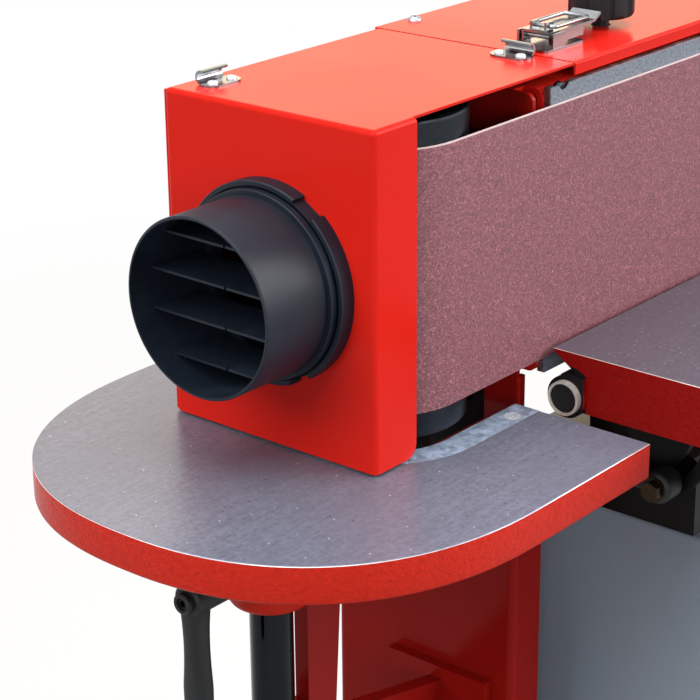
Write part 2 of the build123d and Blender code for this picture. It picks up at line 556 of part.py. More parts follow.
def keeper():
    plate = along_z(Rot(0, 0, 90) * SlotOverall(27, 14), 0, 1.2)
    curl = Circle(4.0) - Circle(2.8)
    curl = curl - poly((0, 0), (-6, 10), (-12, 10), (-12, -12), (0, -12))
    hook = along_y(curl, -10, 10)
    return plate + Pos(5.2, 0, 4.0) * hook


def rivets():
    pair = None
    for y in (-7.5, 7.5):
        one = rod_z(-1.5, y, 1.2, 2.8, 3.0)
        one = fillet(one.edges().filter_by(GeomType.CIRCLE).group_by(Axis.Z)[-1], 1.2)
        pair = one if pair is None else pair + one
    return pair


save("latch_keepers", KEEPER_BACK * keeper() + KEEPER_SIDE * keeper())
save("keeper_rivets", KEEPER_BACK * rivets() + KEEPER_SIDE * rivets())

# Toggle latches that pull the hood home: one on the back guard, one on the top cover
GUARD_Y1 = POST_Y1 + SHEET
LATCH_BACK = Plane(origin=(HOOD_X0 + 26, GUARD_Y1, HOOD_Z1 - 40), x_dir=(0, 0, 1), z_dir=(0, 1, 0))
LATCH_TOP = Plane(origin=(HOOD_X1 + 23, HOOD_Y0 + 40, HOOD_Z1), x_dir=(-1, 0, 0), z_dir=(0, 0, 1))


def latch_base():
    plate = block(-24, 16, -13, 13, 0, 1.5)
    plate = fillet(plate.edges().filter_by(Axis.Z), 3.0)
    for side in (-1, 1):
        ear = block(-3, 9, side * 12 - 0.8, side * 12 + 0.8, 1, 10)
        plate = plate + ear
    return plate + rod_y(4, -12.8, 12.8, 7, 1.6)


def latch_lever():
    plate = block(-38, 8, -10, 10, 9.2, 10.6)
    for side in (-1, 1):
        plate = plate + block(-26, 8, side * 9.4 - 0.6, side * 9.4 + 0.6, 3.5, 10)
    lip = poly((-38, 9.2), (-44, 12.5), (-44, 14.0), (-38, 10.6))
    plate = plate + along_y(lip, -10, 10)
    for side in (-1, 1):
        ear = block(-1, 6, side * 5 - 0.8, side * 5 + 0.8, 10, 15.4)
        plate = plate + ear
    plate = plate - rod_y(4, -14, 14, 7, 1.6 + SLIP)
    return plate - rod_y(2.5, -14, 14, 12.8, 1.3 + SLIP)


def latch_bail():
    wire = rod_y(2.5, -9, 9, 12.8, 1.3)
    for side in (-1, 1):
        wire = wire + rod_x(-33, 2.5, side * 9, 12.8, 1.3)
        wire = wire + Pos(2.5, side * 9, 12.8) * Sphere(1.3)
        wire = wire + Pos(-33, side * 9, 12.8) * Sphere(1.3)
        wire = wire + rod_z(-33, side * 9, 12.8, 22.8, 1.3)
        wire = wire + Pos(-33, side * 9, 22.8) * Sphere(1.3)
    return wire + rod_y(-33, -9, 9, 22.8, 1.3)


save("latch_bases", LATCH_BACK * latch_base() + LATCH_TOP * latch_base())
save("back_latch_lever", LATCH_BACK * latch_lever())
save("back_latch_bail", LATCH_BACK * latch_bail())
save("top_latch_lever", LATCH_TOP * latch_lever())
save("top_latch_bail", LATCH_TOP * latch_bail())

# Sheet covers: over the head, behind the belt and round the drive end
COVER_X0 = HOOD_X1 + 2.0
COVER_X1 = DRIVE_X0 - 2.0
COVER_Y0 = HOOD_Y0 + 3.2
COVER_LIP = 7.3
cover = block(COVER_X0, COVER_X1, COVER_Y0, GUARD_Y1, HOOD_Z1 - COVER_LIP, HOOD_Z1)
cover = fillet(cover.edges().filter_by(Axis.X).group_by(Axis.Z)[-1].group_by(Axis.Y)[0], 2.0)
cover = cover - block(COVER_X0 - 1, COVER_X1 + 1, COVER_Y0 + SHEET, GUARD_Y1 + 1,
                      HEAD_Z1 - 1, HOOD_Z1 - SHEET)
cover = cover - rod_z(LEVER_X, IDLER_Y, HOOD_Z1 - 3, HOOD_Z1 + 1, ROD_R + 1)
cover = cover - rod_z(TRACK_X, IDLER_Y, HOOD_Z1 - 3, HOOD_Z1 + 1, 6.0)
save("top_cover", cover)

GUARD_Z1 = HOOD_Z1 - SHEET
guard = block(HOOD_X0 + 2, DRIVE_X1, POST_Y1, GUARD_Y1, POST_TOP - 22, GUARD_Z1)
guard = guard - block(HOOD_X0, WEB_L - 4, POST_Y1 - 1, GUARD_Y1 + 1, POST_TOP - 23, HOOD_Z0)
guard = guard - block(WEB_R - 0.5, DRIVE_X1 + 1, POST_Y1 - 1, GUARD_Y1 + 1, POST_TOP - 23, BRACKET_Z1 + 0.5)
guard = guard + block(COVER_X0 + 2, COVER_X1 - 2, POST_Y1 - 12, POST_Y1, GUARD_Z1 - SHEET, GUARD_Z1)
save("back_guard", guard)

save("drive_cover", shroud(DRIVE_X1, DRIVE_X0, BRACKET_Z1 + 0.5, HOOD_FLANGE + 10))

# Main table: a ribbed casting with a knife edge beside the belt and two hinge lugs under it
MAIN_YB = BELT_Y - 4.6
MAIN_YF = MAIN_YB - MAIN_DEPTH
SKIRT_Y = TILT_Y - 12.0
MAIN_Z0 = MAIN_Z - MAIN_THICK
TUBE_R = 10.5
TUBE_WALL = 1.6
LUG_LENGTH = 26.0
LUG_OUT = 2.5
TUBE_X0 = MAIN_X0 - 6.0
TUBE_X1 = MAIN_X1 + 3.0
section = poly((MAIN_YF, MAIN_Z0), (SKIRT_Y, MAIN_Z0), (SKIRT_Y, MAIN_Z - 18), (MAIN_YB, MAIN_Z - 1.5),
               (MAIN_YB, MAIN_Z), (MAIN_YF, MAIN_Z))
table = along_x(section, MAIN_X0, MAIN_X1)
front_corners = table.edges().filter_by(Axis.Z).group_by(Axis.Y)[0]
table = fillet(front_corners, 12.0)
table = chamfer(table.edges().group_by(Axis.Z)[-1], 0.5)
WALL = 12.0
RIB = 10.0
POCKET_Y0 = MAIN_YF + WALL
POCKET_Y1 = SKIRT_Y - WALL
POCKETS = 3
span = (MAIN_X1 - MAIN_X0 - 2 * WALL - (POCKETS - 1) * RIB) / POCKETS
for i in range(POCKETS):
    x0 = MAIN_X0 + WALL + i * (span + RIB)
    table = table - block(x0, x0 + span, POCKET_Y0, POCKET_Y1, MAIN_Z0 - 1, MAIN_Z0 + 22)
PLATE_XL = MAIN_X0 + 42.0
PLATE_XR = MAIN_X1 - 42.0
PLATE_T = 8.0
for x0, x1 in ((MAIN_X0, MAIN_X0 + LUG_LENGTH), (MAIN_X1 - LUG_LENGTH, MAIN_X1)):
    out0 = x0 - (LUG_OUT if x0 == MAIN_X0 else 0)
    out1 = x1 + (LUG_OUT if x1 == MAIN_X1 else 0)
    lug = rod_x(out0, out1, TILT_Y, TILT_Z, TUBE_R + 2.5)
    lug = lug + block(x0, x1, SKIRT_Y - 2, TILT_Y - 4, MAIN_Z0, TILT_Z + 4)
    lug = lug + block(out0, out1, SKIRT_Y, TILT_Y + 4, TILT_Z, TILT_Z + 13.5)
    table = table + lug
table = table - rod_x(MAIN_X0 - LUG_OUT - 1, MAIN_X1 + LUG_OUT + 1, TILT_Y, TILT_Z, TUBE_R + SLIP)
for x0 in (PLATE_XL, PLATE_XR - PLATE_T):
    table = table - block(x0 - 4, x0 + PLATE_T + 4, POCKET_Y1 - 1, SKIRT_Y + 1, MAIN_Z0 - 1, MAIN_Z0 + 21)
save("main_table", table)

tube = rod_x(TUBE_X0, TUBE_X1, TILT_Y, TILT_Z, TUBE_R)
tube = tube - rod_x(TUBE_X0 - 1, TUBE_X1 + 1, TILT_Y, TILT_Z, TUBE_R - TUBE_WALL)
save("tilt_tube", tube)

plugs = None
for x_end, inward in ((TUBE_X0, 1), (TUBE_X1, -1)):
    x_in = x_end + inward * 16
    face = x_end + inward * 1.0
    one = rod_x(min(face, x_in), max(face, x_in), TILT_Y, TILT_Z, TUBE_R - TUBE_WALL)
    plugs = one if plugs is None else plugs + one
save("tube_plugs", plugs)

# Carrier under the main table: two end plates on a cross beam that rides on the lift columns
LOCK_R = 72.0
LOCK_A = radians(46.5)
LOCK_Y = TILT_Y - LOCK_R * cos(LOCK_A)
LOCK_Z = TILT_Z - LOCK_R * sin(LOCK_A)
BEAM_Z0 = CAB_Z1 + 10.0
BEAM_Z1 = BEAM_Z0 + 30.0
BEAM_Y0 = LIFT_Y - 20.0
BEAM_Y1 = LIFT_Y + 20.0
beam = block(PLATE_XL + PLATE_T - 1, PLATE_XR - PLATE_T + 1, BEAM_Y0, BEAM_Y1, BEAM_Z0, BEAM_Z1)
outline = poly((TILT_Y + 13, TILT_Z), (TILT_Y + 10, BEAM_Z0), (LOCK_Y - 14, BEAM_Z0),
               (LOCK_Y - 14, LOCK_Z + 6), (LOCK_Y + 2, LOCK_Z + 14), (TILT_Y - 13, TILT_Z - 20),
               (TILT_Y - 13, TILT_Z))
outline = outline + Pos(TILT_Y, TILT_Z) * Circle(13.0)
for x0 in (PLATE_XL, PLATE_XR - PLATE_T):
    beam = beam + along_x(outline, x0, x0 + PLATE_T)
beam = beam - rod_x(PLATE_XL - 1, PLATE_XR + 1, TILT_Y, TILT_Z, TUBE_R)
for x0 in (PLATE_XL, PLATE_XR - PLATE_T):
    beam = beam - rod_x(x0 - 1, x0 + PLATE_T + 1, LOCK_Y, LOCK_Z, 4.0 + SLIP)
save("table_carrier", beam)


def sector(r0, r1, a0, a1):
    """A flat ring sector round the tilt axis, with angles measured down from the -Y direction."""
    ring = Circle(r1) - Circle(r0)
    far = 2 * r1
    mid = (a0 + a1) / 2
    wedge = poly((0, 0), (-far * cos(radians(a0)), -far * sin(radians(a0))),
                 (-far * cos(radians(mid)), -far * sin(radians(mid))),
                 (-far * cos(radians(a1)), -far * sin(radians(a1))))
    return ring & wedge


QUAD_T = 6.0
quads = None
for x0, outward in ((PLATE_XL - 0.5 - QUAD_T, -1), (PLATE_XR + 0.5, 1)):
    flat = Pos(TILT_Y, TILT_Z) * sector(34.0, LOCK_R + 12, -6.5, 56.5)
    slot = Pos(TILT_Y, TILT_Z) * sector(LOCK_R - 4.4, LOCK_R + 4.4, -2.5, 52.5)
    one = along_x(flat - slot, x0, x0 + QUAD_T)
    foot_x0 = min(x0, x0 + outward * 20)
    foot_x1 = max(x0 + QUAD_T, x0 + QUAD_T + outward * 20)
    foot_y1 = TILT_Y - 36.0
    one = one + block(foot_x0, foot_x1, foot_y1 - 50, foot_y1, MAIN_Z0 + 17, MAIN_Z0 + 22)
    one = one + block(x0, x0 + QUAD_T, foot_y1 - 50, foot_y1, TILT_Z + 5, MAIN_Z0 + 22)
    quads = one if quads is None else quads + one
save("tilt_quadrants", quads)


def tilt_lock(x_face, side):
    """A lock lever on the outer face of a quadrant, side pointing outwards along X."""
    reach = PLATE_T + QUAD_T

    def turned(start, end, r):
        x_start = x_face + side * start
        x_end = x_face + side * end
        return rod_x(min(x_start, x_end), max(x_start, x_end), LOCK_Y, LOCK_Z, r)

    shape = turned(-reach - 10, 4, 4.0)
    shape = shape + turned(0.5, 17.0, 10.0)
    shape = shape + turned(-reach - 7.5, -reach - 1.0, 8.0)
    mid_x = x_face + side * 11.0
    lever_arm = poly((LOCK_Y, LOCK_Z - 6), (LOCK_Y + 62, LOCK_Z - 4.5), (LOCK_Y + 62, LOCK_Z + 4.5),
                     (LOCK_Y, LOCK_Z + 6))
    return shape + along_x(lever_arm, mid_x - 5, mid_x + 5)


save("tilt_lock_left", tilt_lock(PLATE_XL - 0.5 - QUAD_T, -1))
save("tilt_lock_right", tilt_lock(PLATE_XR + 0.5 + QUAD_T, 1))

# Lift: two columns in guide bushes, and a spindle driven through a gearbox by the handwheel
COLUMN_R = 17.0
columns = None
bushes = None
for side in (-1, 1):
    one = rod_z(side * LIFT_X, LIFT_Y, BEAM_Z0 - 235, BEAM_Z0, COLUMN_R)
    bush = rod_z(side * LIFT_X, LIFT_Y, CAB_Z1 - 145, CAB_Z1, COLUMN_R + 5.9)
    bush = bush + rod_z(side * LIFT_X, LIFT_Y, CAB_Z1, CAB_Z1 + 6, COLUMN_R + 15)
    bush = bush - rod_z(side * LIFT_X, LIFT_Y, CAB_Z1 - 146, CAB_Z1 + 7, COLUMN_R + SLIP)
    columns = one if columns is None else columns + one
    bushes = bush if bushes is None else bushes + bush
save("lift_columns", columns)
save("guide_bushes", bushes)
save("lift_spindle", rod_z(0, LIFT_Y, WHEEL_Z - GEARBOX_HALF - 20, BEAM_Z0, SPINDLE_R))

gearbox = block(-GEARBOX_SIDE, WHEEL_X + 24, CAB_Y0 + CAB_T, LIFT_Y + 38,
                WHEEL_Z - GEARBOX_HALF, WHEEL_Z + GEARBOX_HALF)
gearbox = fillet(gearbox.edges().filter_by(Axis.Z), 6.0)
gearbox = gearbox - rod_z(0, LIFT_Y, WHEEL_Z - GEARBOX_HALF - 1, WHEEL_Z + GEARBOX_HALF + 1, SPINDLE_R + SLIP)
gearbox = gearbox - rod_y(WHEEL_X, CAB_Y0, LIFT_Y + 30, WHEEL_Z, 7.0 + SLIP)
save("lift_gearbox", gearbox)

WHEEL_Y = CAB_Y0 - WHEEL_STANDOFF
wheel = rod_y(WHEEL_X, WHEEL_Y - 10, CAB_Y0 - 4, WHEEL_Z, 14.0)
wheel = wheel + rod_y(WHEEL_X, CAB_Y0 - 5, LIFT_Y + 25, WHEEL_Z, 7.0)
rim = Pos(WHEEL_X, WHEEL_Y, WHEEL_Z) * Rot(90, 0, 0) * Torus(WHEEL_R, RIM_R)
wheel = wheel + rim
for angle in (90, 210, 330):
    spoke = Pos(WHEEL_X, WHEEL_Y, WHEEL_Z) * Rot(0, angle, 0) * rod_x(10, WHEEL_R, 0, 0, 5.5)
    wheel = wheel + spoke
save("handwheel", wheel)

GRIP_Z = WHEEL_Z + WHEEL_R
grip_y = WHEEL_Y - RIM_R - 1.0
pin = rod_y(WHEEL_X, grip_y - GRIP_LENGTH, grip_y, GRIP_Z, GRIP_R)
pin = fillet(pin.edges().filter_by(GeomType.CIRCLE).group_by(Axis.Y)[0], 6.0)
save("wheel_grip", pin)

# Round end table with its plated insert, on a column
SLOT_R = IDLER_R - 2.5
SLOT_X = IDLER_X + 0.5
SLOT_Y = BELT_Y + SLOT_R + 4.5
INSERT_W = 17.0


def u_shape(radius):
    ends = Pos(SLOT_X, SLOT_Y) * Circle(radius)
    run = Pos((SLOT_X + END_X1 + 10) / 2, SLOT_Y) * Rectangle(END_X1 + 10 - SLOT_X, 2 * radius)
    return ends + run


def end_outline():
    """Gently bowed front and back, a round nose and a straight edge beside the main table."""
    front = Pos(END_X1, END_Y - END_HALF + END_SIDE_R) * Circle(END_SIDE_R)
    back = Pos(END_X1, END_Y + END_HALF - END_SIDE_R) * Circle(END_SIDE_R)
    nose = Pos(END_X1 - END_LENGTH + END_NOSE_R, END_Y) * Circle(END_NOSE_R)
    reach = Pos(END_X1 - END_LENGTH, END_Y) * Rectangle(2 * END_LENGTH, 4 * END_HALF)
    return front & back & nose & reach


BOSS_X = END_X1 - 0.568 * END_LENGTH
BOSS_Z0 = END_Z - 84.0
BOSS_R = 24.0
COL_R = 12.5
LEVER_Z = END_Z - 59.0
end_table = along_z(end_outline(), END_Z - END_THICK, END_Z)
end_table = fillet(end_table.edges().filter_by(Axis.Z).group_by(Axis.X)[0], END_CORNER_R)
end_table = chamfer(end_table.edges().group_by(Axis.Z)[-1], 0.5)
end_table = fillet(end_table.edges().group_by(Axis.Z)[0], 2.0)
end_table = end_table - along_z(u_shape(SLOT_R + 2), END_Z - END_THICK - 1, END_Z + 1)
end_table = end_table - along_z(u_shape(SLOT_R + INSERT_W + 0.1), END_Z - 3, END_Z + 1)
boss = rod_z(BOSS_X, END_Y, BOSS_Z0, END_Z - END_THICK + 1, BOSS_R)
boss = fillet(boss.edges().filter_by(GeomType.CIRCLE).group_by(Axis.Z)[0], 4.0)
end_table = end_table + boss
end_table = end_table + rod_x(BOSS_X - 36, BOSS_X, END_Y, LEVER_Z, 11.0)
end_table = end_table - rod_z(BOSS_X, END_Y, BOSS_Z0 - 1, END_Z - 8, COL_R + SLIP)
end_table = end_table - rod_x(BOSS_X - 37, BOSS_X, END_Y, LEVER_Z, 5.0 + SLIP)
INSERT_SCREWS = [
    (END_X1 - 16, SLOT_Y - SLOT_R - INSERT_W / 2 - 1),
    (END_X1 - 16, SLOT_Y + SLOT_R + INSERT_W / 2 + 1),
    (SLOT_X - SLOT_R - INSERT_W / 2 - 1, SLOT_Y),
]
for screw_x, screw_y in INSERT_SCREWS:
    end_table = end_table - rod_z(screw_x, screw_y, END_Z - 14, END_Z, 2.6)
save("end_table", end_table)

insert = along_z(u_shape(SLOT_R + INSERT_W) - u_shape(SLOT_R), END_Z - 3, END_Z)
insert = insert & block(SLOT_X - 200, END_X1, SLOT_Y - 200, SLOT_Y + 200, END_Z - 10, END_Z + 10)
screws = None
for screw_x, screw_y in INSERT_SCREWS:
    sink = Pos(screw_x, screw_y, END_Z - 1.5) * Cone(2.6, 5.2, 3.0)
    insert = insert - sink
    one = Pos(screw_x, screw_y, END_Z - 1.5) * Cone(2.5, 5.0, 2.8)
    one = one + rod_z(screw_x, screw_y, END_Z - 13, END_Z - 2.5, 2.5)
    one = one - block(screw_x - 3, screw_x + 3, screw_y - 0.6, screw_y + 0.6, END_Z - 1.2, END_Z + 1)
    one = one - block(screw_x - 0.6, screw_x + 0.6, screw_y - 3, screw_y + 3, END_Z - 1.2, END_Z + 1)
    screws = one if screws is None else screws + one
save("insert_strip", insert)
save("insert_screws", screws)

SOCKET_Z1 = END_Z - 160.0
SOCKET_Z0 = SOCKET_Z1 - 120.0
save("end_column", rod_z(BOSS_X, END_Y, SOCKET_Z0, END_Z - 49, COL_R))

BRACE_T = 10.0
side_view = poly((HOOD_X0 + 6, END_Z - 92), (HOOD_X0 + 36, END_Z - 92), (HOOD_X0 + 30, SOCKET_Z1 - 20),
                 (WEB_L, SOCKET_Z1 - 45), (WEB_L, SOCKET_Z0), (BOSS_X, SOCKET_Z0), (BOSS_X, SOCKET_Z1),
                 (HOOD_X0 + 6, SOCKET_Z1))
brace = along_y(side_view, END_Y - BRACE_T / 2, END_Y + BRACE_T / 2)
brace = brace + rod_z(BOSS_X, END_Y, SOCKET_Z0, SOCKET_Z1, 19.0)
brace = brace + block(WEB_L - 8, WEB_L, END_Y - 38, END_Y + 38, SOCKET_Z0 - 10, SOCKET_Z1 - 35)
brace = brace - rod_z(BOSS_X, END_Y, SOCKET_Z0 - 1, SOCKET_Z1 + 1, COL_R)
save("column_bracket", brace)

LEVER_X1 = BOSS_X - 37.0
handle = rod_x(LEVER_X1 - 30, LEVER_X1, END_Y, LEVER_Z, 9.5)
handle = chamfer(handle.edges().filter_by(GeomType.CIRCLE), 1.5)
handle = handle + rod_x(LEVER_X1 - 34, LEVER_X1 - 29, END_Y, LEVER_Z, 6.0)
lever_face = poly((END_Y - 8, LEVER_Z), (END_Y - 5.5, LEVER_Z - 72), (END_Y + 5.5, LEVER_Z - 72),
                  (END_Y + 8, LEVER_Z))
blade = along_x(lever_face, LEVER_X1 - 30, LEVER_X1 - 15)
blade = fillet(blade.edges().group_by(Axis.Z)[0], 3.0)
handle = handle + blade
handle = handle - rod_x(LEVER_X1 - 35, LEVER_X1 - 28, END_Y, LEVER_Z, 3.6)
handle = handle + rod_x(LEVER_X1 - 10, BOSS_X - COL_R - 0.3, END_Y, LEVER_Z, 5.0)
save("clamp_lever", handle)

# Switch box with its start and stop buttons, on the cabinet front
BOX_X = CAB_X - SWITCH_INSET
SWITCH_Y0 = CAB_Y0 - SWITCH_DEPTH
SWITCH_Z = WHEEL_Z
SWITCH_Z0 = SWITCH_Z - SWITCH_HEIGHT / 2
switch = block(BOX_X - SWITCH_WIDTH / 2, BOX_X + SWITCH_WIDTH / 2, SWITCH_Y0, CAB_Y0,
               SWITCH_Z0, SWITCH_Z0 + SWITCH_HEIGHT)
switch = fillet(switch.edges().filter_by(Axis.Y), 6.0)
switch = fillet(switch.edges().group_by(Axis.Y)[0], 3.0)
START_Z = SWITCH_Z0 + SWITCH_HEIGHT - 34.0
STOP_Z = SWITCH_Z0 + 38.0
switch = switch - rod_y(BOX_X, SWITCH_Y0 - 1, SWITCH_Y0 + 18, START_Z, 11.3)
switch = switch - rod_y(BOX_X, SWITCH_Y0 - 1, SWITCH_Y0 + 18, STOP_Z, 11.3)
save("switch_box", switch)

start = rod_y(BOX_X, SWITCH_Y0 - 3, SWITCH_Y0 + 12, START_Z, 11.0)
start = fillet(start.edges().filter_by(GeomType.CIRCLE).group_by(Axis.Y)[0], 1.5)
save("start_button", start)
stop = rod_y(BOX_X, SWITCH_Y0 - 14, SWITCH_Y0 - 5, STOP_Z, 18.0)
stop = fillet(stop.edges().filter_by(GeomType.CIRCLE).group_by(Axis.Y)[0], 4.0)
stop = stop + rod_y(BOX_X, SWITCH_Y0 - 6, SWITCH_Y0 + 12, STOP_Z, 11.0)
save("stop_button", stop)

glands = None
MOTOR_GLAND = (DRUM_X, (BOX_Y0 + BOX_Y1) / 2 - 4, BOX_Z0)
for gland_x, gland_y, gland_z in ((BOX_X, CAB_Y0 - SWITCH_DEPTH / 2, SWITCH_Z0), MOTOR_GLAND):
    one = hexagon_z(gland_x, gland_y, gland_z - 7, gland_z, 24.0)
    one = one + rod_z(gland_x, gland_y, gland_z - 22, gland_z - 7, 10.5)
    one = one - rod_z(gland_x, gland_y, gland_z - 23, gland_z - 6, 5.5)
    glands = one if glands is None else glands + one
save("cable_glands", glands)
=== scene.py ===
"""Looks of an edge sander: paint, ground iron, abrasive cloth and moulded plastic.

Metres, +Z up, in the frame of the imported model.
"""
from math import copysign, cos, pi, radians, sin, sqrt

import bpy
from mathutils import Matrix, Vector


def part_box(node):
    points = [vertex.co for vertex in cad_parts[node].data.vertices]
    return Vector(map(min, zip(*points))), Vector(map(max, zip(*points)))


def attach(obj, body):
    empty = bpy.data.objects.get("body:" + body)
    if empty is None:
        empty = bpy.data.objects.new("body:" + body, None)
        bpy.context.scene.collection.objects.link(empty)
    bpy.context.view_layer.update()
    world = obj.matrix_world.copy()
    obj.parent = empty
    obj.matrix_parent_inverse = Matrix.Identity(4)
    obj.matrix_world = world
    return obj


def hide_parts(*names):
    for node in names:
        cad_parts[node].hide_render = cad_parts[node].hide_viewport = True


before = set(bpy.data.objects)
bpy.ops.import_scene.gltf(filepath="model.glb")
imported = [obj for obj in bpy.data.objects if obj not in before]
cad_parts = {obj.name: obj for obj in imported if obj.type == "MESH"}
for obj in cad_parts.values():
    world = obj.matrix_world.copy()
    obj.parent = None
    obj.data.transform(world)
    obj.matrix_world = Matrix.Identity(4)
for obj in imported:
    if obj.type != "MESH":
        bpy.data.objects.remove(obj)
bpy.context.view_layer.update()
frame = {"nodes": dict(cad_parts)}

bl_info = {
    "name": "Edge sander",
    "version": (1, 0, 0),
    "blender": (4, 5, 0),
    "location": "View3D > Sidebar > Edge sander",
    "description": "Dresses the edge sander and sets it on a pale studio floor",
    "category": "Object",
}

# Named values, in metres unless their comment says otherwise

PAST = 0.001            # how far cutters and joined solids run past a face
FIT = 0.00006           # play all round a pin in its bore
# End table
NOSE_LENGTH = 0.1613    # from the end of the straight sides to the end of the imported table's box
NOSE_TRIM = 0.0018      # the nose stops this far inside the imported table's box
NOSE_FULLNESS = 2.3     # 2 is an ellipse, and more is squarer
NOSE_STEPS = 96
UNDER_EDGE = ((0.0, 0.002), (0.0003, 0.001), (0.001, 0.0003), (0.002, 0.0))  # height, inset
TOP_EDGE = 0.0005       # chamfer of the ground top
BOSS_FOOT = ((0.0, 0.020), (0.0003, 0.0215), (0.0012, 0.0228), (0.0025, 0.0237))  # height, radius
BOSS_EDGE, BOSS_RADIUS = 0.004, 0.024
CLAMP_REACH, CLAMP_RADIUS, CLAMP_STUD = 0.036, 0.011, 0.005     # side boss, and its stud's radius
COLUMN_COVER = 0.008    # iron left over the column's bore
STRIP_DEPTH, STRIP_PLAY, STRIP_OVERHANG = 0.003, 0.0001, 0.002
SLOT_PAST = 0.01        # the slot's cutters run this far past its open end
# Dust port: steps as (distance from the mouth or the hood's face, radius more than the collar's)
PORT_MOUTH = ((0.0, -0.0017), (0.0, -0.0007), (0.0007, 0.0))
PORT_STEPS = (
    (-0.0135, 0.0), (-0.0135, 0.0026), (-0.0131, 0.003), (-0.0095, 0.003), (-0.0095, 0.002),
    (-0.005, 0.002), (-0.005, 0.0042), (-0.0095, 0.0042), (-0.0095, 0.0064), (-0.0089, 0.007),
    (0.0, 0.007), (0.0, -0.0042), (0.006, -0.0042), (0.006, -0.0065), (-0.003, -0.0065),
    (-0.003, -0.0024),
)
PORT_TAIL = 0.006       # length inside the hood
BLADE_LEVELS = (-1.5, -0.5, 0.5, 1.5)       # pitches over the middle
BLADE_START, BLADE_DEPTH = 0.015, 0.032
BLADE_FRONT, BLADE_REAR = 0.0007, 0.001     # half thickness
BLADE_ROOT = 0.001      # the blades end this far under the collar's skin
NICK_SIDES, NICK_DEPTH = (-0.0077, -0.0063), 0.0016     # nick in each blade's front edge
NOTCH_TURNS = (32.5, 152.5, 272.5)          # bayonet notches round the flange, in degrees
NOTCH_HALF, NOTCH_DEPTH = 0.0075, 0.011     # half width, and length along the port
NOTCH_FLOOR, NOTCH_TOP = 0.0042, 0.008      # radius more than the collar's
NOTCH_PAST = 0.0005
# Levers: profiles as (distance from the outer end, radius), or the radius more than a hub's own
CLAMP_CAP = ((0.0035, 0.0034), (0.0006, 0.0036), (0.0, 0.0042), (0.0, 0.0052), (0.0008, 0.006),
             (0.004, 0.006))
CLAMP_HUB = ((0.004, -0.0015), (0.0055, 0.0), (0.0325, 0.0), (0.034, -0.0015))
CLAMP_SCREW = ((0.0034, 0.0020), (0.0014, 0.0022), (0.0014, 0.0033), (0.0033, 0.0033))
CLAMP_ARM = (0.011, 0.0165, 0.0155)         # distance from the outer end, width, thickness
LOCK_HUB = ((0.0, -0.0025), (0.0015, -0.0005), (0.003, 0.0), (0.0145, 0.0), (0.0165, -0.0015))
LOCK_STUD = ((0.0165, 0.004), (0.032, 0.004), (0.032, 0.008), (0.0375, 0.008), (0.0385, 0.007),
             (0.0385, 0.004), (0.041, 0.004))
LOCK_ARM = (0.0075, 0.013, 0.0115)
# Arms of levers, as shares of their width, reach and thickness
ARM_WAIST, ARM_WAIST_END, ARM_FLARE, ARM_TAPER = 0.34, 0.75, 0.35, 0.22
ARM_TIP, ARM_LEAST = 0.9, 0.06  # where the rounded end begins, and the least size of its tip
ARM_SQUARENESS = 0.7            # power of the section: 1 is an ellipse, and less is squarer
# Latch bails
WIRE_RADIUS, WIRE_BEND = 0.0013, 0.003
# Rows of cover screws: distances from the edges of their sheets
TOP_MARGIN, TOP_INSET = 0.03, 0.007
GUARD_START, GUARD_END, GUARD_DROP = 0.16, 0.10, 0.035
DRIVE_INSET = 0.02
# Fasteners: shares of the width of a head or nut, and the seeds of their twists
RECESS_REACH, NUT_CORNER, NUT_ROUND = 0.56, 0.57735, 0.66
SCREW_SEED, NUT_SEED = 11, 5
BLOCK = 0.1             # takes away what lies in the sheet
# Looks
BARE_DEPTH = (0.00062, 0.00052)     # under a ground top, where the paint ends and bare iron begins
RIM_DEPTH = (0.00020, 0.00032)      # under a ground top, where the painted highlight on the rim begins and is full
LUG_RADIUS, SKIRT_DEPTH = 0.0185, 0.0119    # near-black lugs round the tilt tube
BELT_EDGE = (0.0008, 0.0005)        # under the belt's top, where the cut edge begins and is full
# A nearly white painted highlight on the rim of a ground top, and the pale cut edge of the belt
RIM_HIGHLIGHT, CUT_EDGE = "#F4DFD4", "#E8D3D2"
THREAD_MM = 1.77563                 # threads of the graphite cloth, in millimetres
# Stage
LAMP_TARGET = Vector((-0.40, 0.0, 0.92))
LAMPS = (  # name, place, width, depth, watts, colour
    ("top_lamp", (-0.7, 0.0, 4.0), 3.6, 3.6, 145.0, "#FFFFFF"),
    ("key_lamp", (1.45, -2.45, 2.4), 3.0, 2.0, 140.0, "#FFFFFF"),
    ("left_lamp", (-2.45, 0.5, 2.35), 2.0, 1.6, 44.0, "#FFFFFF"),
    ("fill_lamp", (-3.17, -2.77, 1.75), 2.5, 1.5, 45.0, "#FFFFFF"),
    ("back_lamp", (2.4, 2.5, 2.45), 3.2, 1.7, 26.0, "#FFD98C"),
)
CAMERA_PLACE = (-1.32823, -0.61138, 1.35749)
CAMERA_TURN = (-49.956, 21.359, 0.568)      # azimuth, elevation and roll, in degrees
CAMERA_LENS, CAMERA_SENSOR = 109.09, 36.0   # in millimetres
CAMERA_FAR = 60.0
FLOOR_RADIUS, FLOOR_SIDES = 12.0, 96
FLOOR_FADE = (1.3, 3.0)                     # from here to there it fades to white
WORLD_LIGHT = 0.14                          # strength of the soft light from all round
WHITE = (1.0, 1.0, 1.0, 1.0)


# Small tools

def linear(hex_colour):
    """An sRGB hex colour as the linear colour that a shader takes."""
    channels = [int(hex_colour[i:i + 2], 16) / 255 for i in (1, 3, 5)]
    return tuple(c / 12.92 if c <= 0.04045 else ((c + 0.055) / 1.055) ** 2.4 for c in channels)


def tone(colour, factor):
    """A lighter or darker tone of a colour, with full alpha."""
    return tuple(min(1.0, c * factor) for c in colour[:3]) + (1.0,)


def per(size_mm):
    """Texture scale that gives marks of this size in millimetres."""
    return 1000.0 / size_mm


